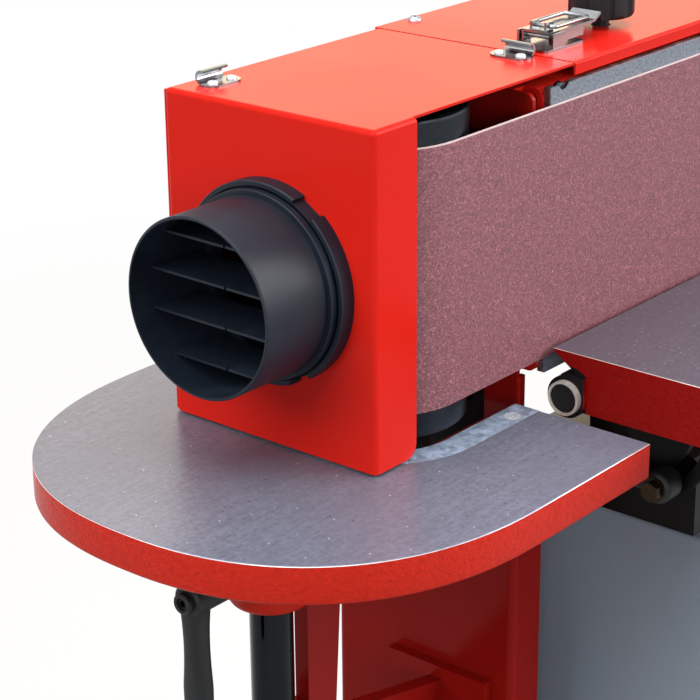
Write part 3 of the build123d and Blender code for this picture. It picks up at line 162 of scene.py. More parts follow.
def node(tree, kind, inputs=None, ramp=None, **settings):
    """Adds a node. An input given as a socket is linked, and any other value is set on it."""
    made = tree.nodes.new(kind)
    for key, value in settings.items():
        setattr(made, key, value)
    for key, value in (inputs or {}).items():
        for part in value if isinstance(value, list) else [value]:
            if isinstance(part, bpy.types.NodeSocket):
                tree.links.new(part, made.inputs[key])
            else:
                made.inputs[key].default_value = part
    if ramp:
        stops = made.color_ramp.elements
        while len(stops) < len(ramp):
            stops.new(0.5)
        for stop, (place, colour) in zip(stops, ramp):
            stop.position = place
            stop.color = colour
    return made


def maths(tree, operation, *values):
    """The result of one sum on sockets or numbers."""
    return node(tree, "ShaderNodeMath", dict(enumerate(values)), operation=operation).outputs[0]


def vector_of(tree, x=0.0, y=0.0, z=0.0):
    """A vector put together from sockets or numbers."""
    return node(tree, "ShaderNodeCombineXYZ", {0: x, 1: y, 2: z}).outputs[0]


# Finishes

class Finish:
    """A material in the making. Its patterns follow object coordinates, with sizes in mm."""

    def __init__(self, name):
        self.material = bpy.data.materials.new(name)
        self.material.use_nodes = True
        self.tree = self.material.node_tree
        self.tree.nodes.clear()
        coordinates = node(self.tree, "ShaderNodeTexCoord").outputs
        self.place = coordinates["Object"]
        self.facing = coordinates["Normal"]

    def noise(self, size_mm, detail, **more):
        inputs = {"Vector": self.place, "Scale": per(size_mm), "Detail": detail, **more}
        return node(self.tree, "ShaderNodeTexNoise", inputs).outputs[0]

    def streaks(self, sizes_mm, detail, **more):
        """Noise with its own size along X, Y and Z."""
        scale = tuple(per(size) for size in sizes_mm)
        lay = node(self.tree, "ShaderNodeMapping", {"Vector": self.place, "Scale": scale})
        inputs = {"Vector": lay.outputs[0], "Scale": 1.0, "Detail": detail, **more}
        return node(self.tree, "ShaderNodeTexNoise", inputs).outputs[0]

    def threads(self, size_mm, way):
        """Waves this far apart: a wave texture of scale 1 repeats every pi / 10."""
        inputs = {"Vector": self.place, "Scale": per(size_mm) * pi / 10, "Distortion": 1.2}
        wave = node(self.tree, "ShaderNodeTexWave", inputs, bands_direction=way)
        return wave.outputs["Fac"]

    def cells(self, size_mm, **settings):
        inputs = {"Vector": self.place, "Scale": per(size_mm)}
        return node(self.tree, "ShaderNodeTexVoronoi", inputs, **settings).outputs

    def pick(self, cells):
        """A random value for each cell."""
        return node(self.tree, "ShaderNodeSeparateColor", {0: cells["Color"]}).outputs[0]

    def axes(self):
        """The object coordinates one by one."""
        return node(self.tree, "ShaderNodeSeparateXYZ", {0: self.place}).outputs

    def blend(self, share, first, second):
        """A mix of two colours."""
        inputs = {0: share, 6: first, 7: second}
        return node(self.tree, "ShaderNodeMix", inputs, data_type="RGBA").outputs[2]

    def between(self, share, first, second):
        """A mix of two values."""
        inputs = {0: share, 2: first, 3: second}
        return node(self.tree, "ShaderNodeMix", inputs, data_type="FLOAT").outputs[0]

    def ranged(self, value, source, target=(0.0, 1.0)):
        """A value carried from one range to another and held at the ends."""
        return node(self.tree, "ShaderNodeMapRange", {
            "Value": value, "From Min": source[0], "From Max": source[1],
            "To Min": target[0], "To Max": target[1]}).outputs[0]

    def maths(self, operation, *values):
        return maths(self.tree, operation, *values)

    def vector(self, operation, *values):
        inputs = dict(enumerate(values))
        return node(self.tree, "ShaderNodeVectorMath", inputs, operation=operation).outputs

    def tones(self, value, colour, stops):
        """Tones of one colour along a value, from stops of (value, factor)."""
        ramp = [(at, tone(colour, factor)) for at, factor in stops]
        return node(self.tree, "ShaderNodeValToRGB", {0: value}, ramp=ramp).outputs[0]

    def bump(self, height, strength, distance, **more):
        inputs = {"Height": height, "Strength": strength, "Distance": distance, **more}
        return node(self.tree, "ShaderNodeBump", inputs).outputs[0]

    def done(self, inputs):
        """Closes the material with the shader that these inputs go to."""
        shader = node(self.tree, "ShaderNodeBsdfPrincipled", inputs)
        node(self.tree, "ShaderNodeOutputMaterial", {"Surface": shader.outputs[0]})
        return self.material


def powder_coat(name, colour, roughness, peel_mm, specular, shade_heart=None):
    """Powder coat on folded sheet: even colour, fine orange peel, slow waves, painted shade inside a
    hood.
    """
    look = Finish(name)
    cloud = look.noise(140, 3.0)
    shade = look.blend(cloud, tone(colour, 0.92), tone(colour, 1.08))
    dust = look.ranged(look.cells(14)["Distance"], (0.025, 0.04), (0.4, 0.0))
    shade = look.blend(dust, shade, tone(colour, 1.5))
    if shade_heart:
        # Inside a hood, the faces that look towards its heart are painted near black: painted shade where
        # little light gets in.
        inward = look.vector("SUBTRACT", shade_heart, look.place)[0]
        facing = look.vector("DOT_PRODUCT", inward, look.facing)["Value"]
        shade = look.blend(look.maths("GREATER_THAN", facing, 0.0), shade, tone(colour, 0.05))
    sheet = look.bump(look.noise(90, 0.0), 0.35, 0.0022)
    return look.done({
        "Base Color": shade, "IOR": 1.5, "Specular IOR Level": specular,
        "Roughness": look.ranged(cloud, (0.0, 1.0), (roughness - 0.04, roughness + 0.05)),
        "Normal": look.bump(look.noise(peel_mm, 1.0), 0.10, 0.0003, Normal=sheet)})


def ground_casting(name, top, red, iron, dust_mm, hinge=None):
    """Cast iron: a ground top with a painted highlight on its rim, gloss paint on rough-cast sides, dark
    lugs.
    """
    look = Finish(name)
    spot = look.axes()
    bare = look.ranged(spot["Z"], [top - depth for depth in BARE_DEPTH])
    rim = look.ranged(spot["Z"], [top - depth for depth in RIM_DEPTH])
    # Grinding marks lie along the table, about 2 mm apart and up to 25 mm long.
    grain = look.between(0.55, look.streaks((24, 2.2, 24), 5.0, Roughness=0.65), look.noise(2.6, 3.0))
    metal = look.tones(grain, iron, ((0.42, 0.80), (0.50, 1.0), (0.58, 1.24)))
    blotch = look.noise(75, 3.0)
    tint = look.blend(blotch, metal, tone(iron, 0.90))
    # Grains of dust about 1 mm wide, some bright and some faint.
    specks = look.cells(dust_mm, voronoi_dimensions="2D")
    faint = look.ranged(look.pick(specks), (0.35, 1.0))
    dust = look.ranged(specks["Distance"], (0.35 / dust_mm, 0.65 / dust_mm), (0.9, 0.0))
    tint = look.blend(look.maths("MULTIPLY", dust, faint), tint, tone(iron, 3.2))
    # A patchy, nearly white line along the top's chamfer is a painted highlight.
    highlight_share = look.maths("MULTIPLY", rim, look.ranged(blotch, (0.35, 0.65), (0.2, 1.0)))
    highlighted = look.blend(highlight_share, tint, tone(linear(RIM_HIGHLIGHT), 1.0))
    skin = look.noise(3.4, 5.0, Roughness=0.7)
    # The lumps of the rough cast are painted lighter and more orange and the hollows darker: painted
    # highlight and painted shade that follow the bump.
    lit_lumps = tuple(min(1.0, c * more) for c, more in zip(red, (1.25, 1.8, 1.3))) + (1.0,)
    shade = look.blend(skin, tone(red, 0.74), lit_lumps)
    if hinge:
        # The lugs round the tilt tube are near black behind the painted skirt.
        flat = vector_of(look.tree, 0.0, spot["Y"], spot["Z"])
        away = look.vector("DISTANCE", flat, (0.0, *hinge))["Value"]
        behind = look.maths("GREATER_THAN", spot["Y"], hinge[0] - SKIRT_DEPTH)
        lug = look.maths("MULTIPLY", look.maths("LESS_THAN", away, LUG_RADIUS), behind)
        shade = look.blend(lug, shade, tone(iron, 0.07))
    satin = look.ranged(grain, (0.3, 0.7), (0.26, 0.38))
    rough = look.between(bare, skin, grain)
    relief = look.between(bare, 1.0, 0.0)
    # A film of oil and fine dust dulls the ground iron, so it is only partly metal to the eye.
    return look.done({
        "Base Color": look.blend(bare, shade, highlighted), "Metallic": look.maths("MULTIPLY", bare, 0.4),
        "Roughness": look.between(bare, 0.22, satin), "IOR": 1.5, "Specular IOR Level": 0.05,
        "Normal": look.bump(rough, relief, 0.0014)})


def bright_metal(name, colour, roughness, lay_mm, relief, bare=1.0):
    """Plated, turned or polished metal: fine marks along one way, small changes of tone."""
    look = Finish(name)
    marks = look.streaks(lay_mm, 4.0)
    mixed = look.between(0.5, marks, look.noise(22, 3.0))
    return look.done({
        "Base Color": look.tones(mixed, colour, ((0.3, 0.78), (0.5, 1.0), (0.7, 1.15))),
        "Roughness": look.ranged(mixed, (0.3, 0.7), (roughness * 0.75, roughness * 1.35)),
        "Metallic": bare, "Normal": look.bump(marks, relief, 0.0002)})


def blue_zinc(name, colour):
    """Blue-passivated zinc plate: cloudy spangle a few millimetres wide, partly matt."""
    look = Finish(name)
    mixed = look.between(0.35, look.noise(7, 4.0, Roughness=0.7), look.pick(look.cells(4)))
    return look.done({
        "Base Color": look.tones(mixed, colour, ((0.30, 0.72), (0.50, 1.0), (0.70, 1.3))),
        "Roughness": look.ranged(mixed, (0.3, 0.7), (0.30, 0.46)), "Metallic": 0.45, "IOR": 1.5})


def moulded_plastic(name, colour, roughness, grain_mm, scuff, specular=0.5):
    """Injection-moulded plastic: a fine sparked grain, cloudy flow marks and paler scuffs."""
    look = Finish(name)
    flow = look.noise(38, 3.0, Distortion=0.8)
    rub = look.ranged(flow, (0.5, 0.75), (0.0, scuff))
    return look.done({
        "Base Color": look.blend(rub, tone(colour, 1.0), tone(colour, 2.6)),
        "Roughness": look.ranged(flow, (0.3, 0.7), (roughness - 0.05, roughness + 0.09)),
        "Normal": look.bump(look.noise(grain_mm, 2.0), 0.12, 0.0002),
        "IOR": 1.5, "Specular IOR Level": specular})


def abrasive_cloth(name, colour, top):
    """Grit glued on cloth: dark grains and bright grains painted as glints, 0.8 mm wide so that they
    show, a pale edge.
    """
    look = Finish(name)
    mixed = look.between(0.35, look.pick(look.cells(0.8)), look.noise(2.4, 4.0, Roughness=0.75))
    # The brightest grains are painted highlights.
    shade = look.tones(mixed, colour, ((0.20, 0.45), (0.50, 0.92), (0.74, 1.18), (0.86, 2.3)))
    load = look.ranged(look.noise(60, 2.0), (0.0, 1.0), (0.0, 0.22))
    shade = look.blend(load, shade, tone(colour, 1.3))
    edge = look.ranged(look.axes()["Z"], [top - depth for depth in BELT_EDGE], (0.0, 0.75))
    return look.done({
        "Base Color": look.blend(edge, shade, tone(linear(CUT_EDGE), 1.0)),
        "Roughness": 0.6, "Normal": look.bump(mixed, 0.5, 0.0006), "IOR": 1.5})


def graphite_cloth(name, colour):
    """Canvas rubbed with graphite: a mottled grey with dark flecks, and threads 1.8 mm apart."""
    look = Finish(name)
    mottle = look.noise(1.8, 4.0, Roughness=0.75)
    weave = look.maths("MAXIMUM", look.threads(THREAD_MM, "X"), look.threads(THREAD_MM, "Z"))
    return look.done({
        "Base Color": look.tones(mottle, colour, ((0.34, 0.50), (0.50, 1.0), (0.68, 1.5))),
        "Roughness": 0.5, "Normal": look.bump(weave, 0.2, 0.0003), "IOR": 1.5})


def tilt_axis():
    """Y and Z of the line that the main table tilts about."""
    lo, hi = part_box("tilt_tube")
    return (lo.y + hi.y) / 2, (lo.z + hi.z) / 2


def finish(key):
    """The material of one finish, made when it is first asked for."""
    made = bpy.data.materials.get(key)
    if made:
        return made
    colours = bpy.context.scene.sander_colours
    sheet = (0.22, 2.5, 0.06)
    makers = {
        "red_powder_coat": lambda: powder_coat(key, colours.red, *sheet),
        # The darker frame red is painted shade.
        "shaded_frame_powder_coat": lambda: powder_coat(key, colours.frame, *sheet),
        # The hood's middle, towards which the inside is painted near black as shade.
        "hood_powder_coat": lambda: powder_coat(
            key, colours.red, *sheet, sum(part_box("hood"), Vector()) / 2),
        "blue_grey_powder_coat": lambda: powder_coat(key, colours.cabinet, 0.36, 3.0, 0.3),
        "black_enamel": lambda: powder_coat(key, colours.enamel, 0.36, 3.5, 0.12),
        "motor_enamel": lambda: powder_coat(key, colours.motor, 0.45, 1.8, 0.5),
        "end_table_iron": lambda: ground_casting(
            key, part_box("end_table")[1].z, colours.casting, colours.iron, 20),
        # The main table's red and ground iron are darker than the end table's: painted shade.
        "main_table_iron": lambda: ground_casting(
            key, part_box("main_table")[1].z, colours.shaded_main_casting, colours.shaded_main_iron, 7, tilt_axis()),
        "blue_zinc_plate": lambda: blue_zinc(key, colours.strip),
        "zinc_screws": lambda: bright_metal(key, colours.screw, 0.30, (3.0, 3.0, 3.0), 0.05, 0.4),
        "zinc_plate": lambda: bright_metal(key, colours.zinc, 0.34, (2.5, 9.0, 9.0), 0.12),
        "bright_nickel": lambda: bright_metal(key, colours.nickel, 0.20, (1.5, 12.0, 12.0), 0.06),
        "polished_steel": lambda: bright_metal(key, colours.steel, 0.13, (1.6, 1.6, 70.0), 0.05),
        "blackened_steel": lambda: bright_metal(key, colours.blackened, 0.12, (1.6, 1.6, 70.0), 0.05),
        "turned_steel": lambda: bright_metal(key, colours.steel, 0.30, (8.0, 8.0, 0.7), 0.15),
        "drawn_tube": lambda: bright_metal(key, colours.tube, 0.33, (60.0, 1.2, 1.2), 0.10, 0.4),
        "oxide_roller": lambda: bright_metal(key, colours.roller, 0.34, (9.0, 9.0, 0.8), 0.18),
        "cast_aluminium": lambda: bright_metal(key, colours.aluminium, 0.36, (9.0, 9.0, 0.9), 0.2),
        "brass": lambda: bright_metal(key, colours.brass, 0.40, (3.0, 3.0, 3.0), 0.08),
        "black_abs": lambda: moulded_plastic(key, colours.port, 0.45, 0.8, 0.35, 0.25),
        "black_nylon": lambda: moulded_plastic(key, colours.nylon, 0.47, 0.7, 0.15, 0.25),
        "green_button": lambda: moulded_plastic(key, colours.start, 0.30, 1.0, 0.05),
        "red_button": lambda: moulded_plastic(key, colours.stop, 0.30, 1.0, 0.05),
        "grit_belt": lambda: abrasive_cloth(key, colours.grit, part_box("belt")[1].z),
        "graphite_canvas": lambda: graphite_cloth(key, colours.graphite),
    }
    return makers[key]()


def dress(key, *names):
    """Puts a finish on every slot of the named nodes of the model."""
    material = finish(key)
    for name in names:
        slots = frame["nodes"][name].material_slots
        if not slots:
            raise RuntimeError("no material slot on " + name)
        for slot in slots:
            slot.material = material


# Shapes: a solid is its points and its faces

def plain(name, solid):
    """A bare object made of points and faces."""
    points, faces = solid
    mesh = bpy.data.meshes.new(name)
    mesh.from_pydata([tuple(p) for p in points], [], faces)
    mesh.validate()
    made = bpy.data.objects.new(name, mesh)
    bpy.context.scene.collection.objects.link(made)
    return made


def settle(made, material, body, smooth=35.0):
    """Gives a piece its finish and sets it on a body of the model."""
    mesh = made.data
    mesh.materials.clear()
    mesh.materials.append(material)
    mesh.shade_smooth()
    mesh.set_sharp_from_angle(angle=radians(smooth))
    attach(made, body)


def realise(made):
    """Turns what an object's modifiers give into its plain mesh."""
    evaluated = made.evaluated_get(bpy.context.evaluated_depsgraph_get())
    mesh = bpy.data.meshes.new_from_object(evaluated)
    if not mesh.polygons:
        raise RuntimeError("nothing is left of " + made.name)
    made.modifiers.clear()
    made.data = mesh
    mesh.name = made.name


def tube_of_rings(rings):
    """A solid through rings of equal length, closed at both ends."""
    points = [p for ring in rings for p in ring]
    count = len(rings[0])
    faces = [tuple(reversed(range(count)))]
    for row in range(len(rings) - 1):
        a, b = row * count, (row + 1) * count
        for i in range(count):
            j = (i + 1) % count
            faces.append((a + i, a + j, b + j, b + i))
    last = (len(rings) - 1) * count
    faces.append(tuple(range(last, last + count)))
    return points, faces


def loop_of_rings(rings):
    """A solid through rings of equal length, the last joined to the first."""
    points = [p for ring in rings for p in ring]
    count = len(rings[0])
    faces = []
    for row in range(len(rings)):
        a, b = row * count, (row + 1) % len(rings) * count
        for i in range(count):
            j = (i + 1) % count
            faces.append((a + i, b + i, b + j, a + j))
    return points, faces


def join_solids(solids):
    points = []
    faces = []
    for more_points, more_faces in solids:
        shift = len(points)
        points.extend(more_points)
        faces.extend(tuple(i + shift for i in face) for face in more_faces)
    return points, faces


def circle(a, b, radius, sides):
    """Pairs of places round a circle."""
    angles = [2 * pi * i / sides for i in range(sides)]
    return [(a + radius * cos(angle), b + radius * sin(angle)) for angle in angles]


def turned(y, z, profile, sides=48):
    """A solid turned about a line along X, from a profile of (x, radius) with x rising."""
    return tube_of_rings([[Vector((x, *spot)) for spot in circle(y, z, radius, sides)]
                          for x, radius in profile])


def upright(x, y, profile, sides=64):
    """A solid turned about an upright line, from a profile of (z, radius) with z rising."""
    return tube_of_rings([[Vector((*spot, z)) for spot in circle(x, y, radius, sides)]
                          for z, radius in profile])


def hollow_turned(y, z, profile, sides=120):
    """A hollow ring turned about a line along X, from a closed profile of (x, radius)."""
    rounds = [circle(y, z, radius, sides) for _, radius in profile]
    return loop_of_rings([[Vector((x, *spots[i])) for (x, _), spots in zip(profile, rounds)]
                          for i in range(sides)])


def wire_loop(middle, first, second, sides=16, steps=6):
    """A loop of wire round a rectangle, from its middle and its two half sides."""
    along, across = first.normalized(), second.normalized()
    up = along.cross(across)
    rings = []
    for corner, (a, b) in enumerate(((1, 1), (-1, 1), (-1, -1), (1, -1))):
        bend = (middle + along * (a * (first.length - WIRE_BEND))
                + across * (b * (second.length - WIRE_BEND)))
        for step in range(steps + 1):
            angle = (corner + step / steps) * pi / 2
            out = along * cos(angle) + across * sin(angle)
            rings.append([bend + out * WIRE_BEND + out * u + up * v
                          for u, v in circle(0.0, 0.0, WIRE_RADIUS, sides)])
    return loop_of_rings(rings)


def power(value, exponent):
    """A power that keeps the sign."""
    return copysign(abs(value) ** exponent, value)


def tongue(open_x, x, y, along, half, z, fullness=2.0, steps=48):
    """A flat outline with straight sides from open_x to x and a round end beyond it."""
    ring = [Vector((open_x, y + half, z))]
    for i in range(steps + 1):
        a = pi / 2 + pi * i / steps
        u, v = abs(cos(a)) ** (2 / fullness), power(sin(a), 2 / fullness)
        ring.append(Vector((x - along * u, y + half * v, z)))
    ring.append(Vector((open_x, y - half, z)))
    return ring


def brick(lo, hi):
    """A block between two corners."""
    corners = ((lo[0], lo[1]), (hi[0], lo[1]), (hi[0], hi[1]), (lo[0], hi[1]))
    return tube_of_rings([[Vector((x, y, z)) for x, y in corners] for z in (lo[2], hi[2])])


def moved(solid, turn, place):
    """The same solid, turned about the origin and then carried to a place."""
    points, faces = solid
    return [place + turn @ p for p in points], faces


def carved(name, solid, steps):
    """An object made of one solid after others are added to it or cut from it."""
    made = plain(name, solid)
    tools = []
    for way, shape in steps:
        tool = plain(name + "_tool", shape)
        tools.append(tool)
        cut = made.modifiers.new(way, "BOOLEAN")
        cut.operation = way
        cut.solver = "EXACT"
        cut.object = tool
    realise(made)
    for tool in tools:
        bpy.data.objects.remove(tool)
    return made


def handle_arm(start, along, reach, width, thick, steps=26, sides=28):
    """A moulded lever arm from a hub on a line along X: waisted, swelling to a rounded end."""
    side = Vector((1, 0, 0))
    across = along.cross(side)
    rings = []
    for row in range(steps + 1):
        t = row / steps
        swell = 1.0 - ARM_WAIST * sin(pi * min(1.0, t / ARM_WAIST_END)) * (1 - ARM_FLARE * t)
        tip = max(0.0, t - ARM_TIP) / (1.0 - ARM_TIP)
        end = max(sqrt(max(0.0, 1.0 - tip ** 2)), ARM_LEAST)
        half_w = 0.5 * width * swell * end
        half_t = 0.5 * thick * (1.0 - ARM_TAPER * t) * end
        middle = start + along * (reach * t)
        rings.append([middle + side * (half_t * power(u, ARM_SQUARENESS))
                      + across * (half_w * power(v, ARM_SQUARENESS))
                      for u, v in circle(0.0, 0.0, 1.0, sides)])
    return tube_of_rings(rings)


def tree_with_inputs(name, sizes):
    """A geometry tree with its named sizes, ready for nodes."""
    tree = bpy.data.node_groups.new(name, "GeometryNodeTree")
    tree.interface.new_socket("Geometry", in_out="INPUT", socket_type="NodeSocketGeometry")
    for label in sizes:
        made = tree.interface.new_socket(label, in_out="INPUT", socket_type="NodeSocketFloat")
        made.subtype = "DISTANCE"
    tree.interface.new_socket("Material", in_out="INPUT", socket_type="NodeSocketMaterial")
    tree.interface.new_socket("Geometry", in_out="OUTPUT", socket_type="NodeSocketGeometry")
    return tree, node(tree, "NodeGroupInput").outputs


def set_out(tree, given, head, seed):
    """Stands a head on every point, facing outwards with a fixed random twist, as plain mesh."""
    facing = node(tree, "GeometryNodeInputNamedAttribute", {0: "facing"},
                  data_type="FLOAT_VECTOR")
    turn = node(tree, "FunctionNodeAlignRotationToVector", {"Vector": facing.outputs[0]}, axis="Z")
    twist = node(tree, "FunctionNodeRandomValue", {2: 0.0, 3: 2 * pi, "Seed": seed},
                 data_type="FLOAT")
    spin = node(tree, "FunctionNodeAxisAngleToRotation",
                {"Axis": (0.0, 0.0, 1.0), "Angle": twist.outputs[1]})
    both = node(tree, "FunctionNodeRotateRotation", {0: turn.outputs[0], 1: spin.outputs[0]},
                rotation_space="LOCAL")
    spread = node(tree, "GeometryNodeInstanceOnPoints", {
        "Points": given["Geometry"], "Instance": head, "Rotation": both.outputs[0]})
    solid = node(tree, "GeometryNodeRealizeInstances", {0: spread.outputs[0]})
    coat = node(tree, "GeometryNodeSetMaterial",
                {0: solid.outputs[0], "Material": given["Material"]})
    node(tree, "NodeGroupOutput", {0: coat.outputs[0]})


def shifted(tree, shape, place):
    inputs = {"Geometry": shape, "Translation": place}
    return node(tree, "GeometryNodeTransform", inputs).outputs[0]


def pan_screw_tree():
    """Pan-head screws with a cross recess, set out on points."""
    tree, given = tree_with_inputs("Pan screws", ("Head width", "Head height", "Recess width"))
    width, height, recess = given["Head width"], given["Head height"], given["Recess width"]
    flat = maths(tree, "DIVIDE", width, 2.0)
    ball = node(tree, "GeometryNodeMeshUVSphere", {"Segments": 24, "Rings": 14, "Radius": 1.0})
    dome = node(tree, "GeometryNodeTransform", {
        "Geometry": ball.outputs[0], "Scale": vector_of(tree, flat, flat, height)})
    arm = maths(tree, "MULTIPLY", width, RECESS_REACH)
    lift = vector_of(tree, z=height)
    cutters = []
    for first, second in ((arm, recess), (recess, arm)):
        size = vector_of(tree, first, second, height)
        bar = node(tree, "GeometryNodeMeshCube", {"Size": size})
        cutters.append(shifted(tree, bar.outputs[0], lift))
    # A block takes away the half of the ball that lies in the sheet.
    below = node(tree, "GeometryNodeMeshCube", {"Size": (BLOCK, BLOCK, BLOCK)})
    cutters.append(shifted(tree, below.outputs[0], (0.0, 0.0, -BLOCK / 2)))
    head = node(tree, "GeometryNodeMeshBoolean", {0: dome.outputs[0], 1: cutters},
                operation="DIFFERENCE", solver="EXACT")
    set_out(tree, given, head.outputs[0], SCREW_SEED)
    return tree


def lock_nut_tree():
    """Hexagon nuts with rounded corners on a plain washer, set out on points."""
    tree, given = tree_with_inputs(
        "Lock nuts", ("Nut width", "Nut height", "Washer width", "Washer height"))
    width, height, washer = given["Nut width"], given["Nut height"], given["Washer height"]
    # The ball rounds the corners of the hexagon.
    block = node(tree, "GeometryNodeMeshCylinder", {
        "Vertices": 6, "Radius": maths(tree, "MULTIPLY", width, NUT_CORNER), "Depth": height})
    ball = node(tree, "GeometryNodeMeshUVSphere", {
        "Segments": 32, "Rings": 20, "Radius": maths(tree, "MULTIPLY", width, NUT_ROUND)})
    nut = node(tree, "GeometryNodeMeshBoolean", {1: [block.outputs[0], ball.outputs[0]]},
               operation="INTERSECT", solver="EXACT")
    raised = vector_of(tree, z=maths(tree, "MULTIPLY_ADD", height, 0.5, washer))
    ring = node(tree, "GeometryNodeMeshCylinder", {
        "Vertices": 40, "Radius": maths(tree, "MULTIPLY", given["Washer width"], 0.5),
        "Depth": washer})
    seat = vector_of(tree, z=maths(tree, "MULTIPLY", washer, 0.5))
    both = node(tree, "GeometryNodeJoinGeometry", {
        0: [shifted(tree, nut.outputs[0], raised), shifted(tree, ring.outputs[0], seat)]})
    set_out(tree, given, both.outputs[0], NUT_SEED)
    return tree


def grow(name, tree, spots, sizes, material, body):
    """Runs a geometry tree on points, each with its facing, and keeps one plain mesh."""
    made = plain(name, ([place for place, _ in spots], []))
    facing = made.data.attributes.new("facing", "FLOAT_VECTOR", "POINT")
    for entry, (_, direction) in zip(facing.data, spots):
        entry.vector = direction
    made.modifiers.new("Set out", "NODES").node_group = tree
    values = {**sizes, "Material": material}
    for socket in tree.interface.items_tree:
        if socket.in_out == "INPUT" and socket.name in values:
            made.modifiers["Set out"][socket.identifier] = values[socket.name]
    realise(made)
    settle(made, material, body, 30.0)


# Values that a user would change

def paint(name, description, hex_colour):
    return bpy.props.FloatVectorProperty(
        name=name, description=description, subtype="COLOR", size=3, min=0.0, max=1.0,
        default=linear(hex_colour))


def length(name, description, metres):
    return bpy.props.FloatProperty(
        name=name, description=description, unit="LENGTH", subtype="DISTANCE", min=0.0,
        default=metres, precision=4)


class SanderColours(bpy.types.PropertyGroup):
    """Colours of the finishes"""
    red: paint("Sheet red", "Powder coat of the hood, covers and head", "#CC2117")
    # Darker than the sheet red: painted shade on the posts and brackets, which stand under the tables.
    frame: paint("Frame red", "Powder coat of the posts and brackets", "#8F1510")
    casting: paint("Casting red", "Paint on the rough sides of the end table", "#C8241A")
    iron: paint("Ground iron", "Bare top of the end table", "#787B8B")
    # Darker than the end table's red: painted shade on the main table's sides.
    shaded_main_casting: paint("Main casting red", "Paint on the rough sides of the main table", "#880B0A")
    # Darker than the end table's ground iron: painted shade on the main table's top.
    shaded_main_iron: paint("Main ground iron", "Bare top of the main table", "#675F6A")
    cabinet: paint("Cabinet grey", "Powder coat of the cabinet and feet", "#8A99A7")
    enamel: paint("Black enamel", "Paint of the carriage, carrier, handwheel and fan cover", "#070708")
    motor: paint("Motor grey", "Enamel of the motor and its terminal box", "#4B5157")
    grit: paint("Abrasive", "Grain of the belt", "#7E4D54")
    graphite: paint("Graphite", "Cloth on the platen", "#6B727C")
    port: paint("Port black", "Moulded dust port", "#121923")
    nylon: paint("Nylon black", "Levers, knobs, plugs, glands and switch box", "#111315")
    strip: paint("Blue zinc", "Insert strip of the end table", "#A4B3CB")
    screw: paint("Bright zinc", "Rivets of the keepers and screws of the strip", "#D6DCE2")
    zinc: paint("Zinc plate", "Screws and bolts", "#A3AAB3")
    nickel: paint("Nickel plate", "Latches and keepers", "#8E9092")
    tube: paint("Drawn tube", "Tilt tube of the main table", "#D6D0C6")
    steel: paint("Steel", "Lift columns, shafts, rods and platen", "#B4B5B8")
    blackened: paint("Blackened steel", "Column of the end table and the clamp's socket screw", "#1F2123")
    roller: paint("Roller oxide", "Idler roller and platen screws", "#2B2F34")
    aluminium: paint("Aluminium", "Drive drum", "#B7B9BB")
    # Very dark for brass: painted shade, since the nuts sit under the main table.
    brass: paint("Brass", "Nuts of the tilt locks", "#352C22")
    start: paint("Start button", "Green push button", "#1E7A38")
    stop: paint("Stop button", "Red push button", "#B3191A")
    floor: paint("Floor", "Studio floor", "#E6E5E3")


class SanderSizes(bpy.types.PropertyGroup):
    """Sizes of the small pieces"""
    table_thick: length("End table", "Thickness of the end table's plate", 0.022)
    strip_width: length("Strip", "Width of the insert strip", 0.017)
    port_width: length("Dust port", "Outer width of the dust port's collar", 0.100)
    blade_pitch: length("Blade pitch", "Distance between the louvre blades", 0.02275)
    blade_rise: bpy.props.FloatProperty(
        name="Blade rise", description="Height of the blades' middle over the axis", unit="LENGTH",
        subtype="DISTANCE", default=-0.0022, precision=4)
    blade_turn: bpy.props.FloatProperty(
        name="Blade turn", description="Turn of the blades in degrees", default=0.5)
    screw_width: length("Screw head", "Width of a cover screw's head", 0.0090)
    screw_height: length("Screw height", "Height of a cover screw's head", 0.0028)
    recess_width: length("Recess", "Width of one arm of the cross recess", 0.0013)
    screw_pitch: length("Screw pitch", "Distance between cover screws", 0.170)
    nut_width: length("Nut", "Width across the flats of a lock nut", 0.011)
    nut_height: length("Nut height", "Height of a lock nut", 0.0050)
    washer_width: length("Washer", "Width of a lock washer", 0.0150)
    washer_height: length("Washer height", "Thickness of a lock washer", 0.0012)


# Operators

class SANDER_OT_sheet_metal(bpy.types.Operator):
    """Red powder coat on the hood, covers, posts, head and brackets"""
    bl_idname = "sander.sheet_metal"
    bl_label = "Red sheet metal"

    def execute(self, context):
        dress("hood_powder_coat", "hood")
        dress("shaded_frame_powder_coat", "left_post", "right_post", "column_bracket", "motor_bracket")
        dress("red_powder_coat", "top_cover", "back_guard", "drive_cover", "head_channel")
        return {"FINISHED"}


class SANDER_OT_base(bpy.types.Operator):
    """Blue-grey powder coat on the cabinet and feet, and zinc on the bolts"""
    bl_idname = "sander.base"
    bl_label = "Cabinet and feet"

    def execute(self, context):
        dress("blue_grey_powder_coat", "base_cabinet", "floor_feet")
        dress("zinc_plate", "base_bolts", "motor_bolts")
        return {"FINISHED"}


class SANDER_OT_tables(bpy.types.Operator):
    """Ground and painted cast iron on the main table, and zinc on the end table's strip"""
    bl_idname = "sander.tables"
    bl_label = "Main table and strip"

    def execute(self, context):
        dress("main_table_iron", "main_table")
        dress("blue_zinc_plate", "insert_strip")
        dress("zinc_screws", "insert_screws")
        return {"FINISHED"}


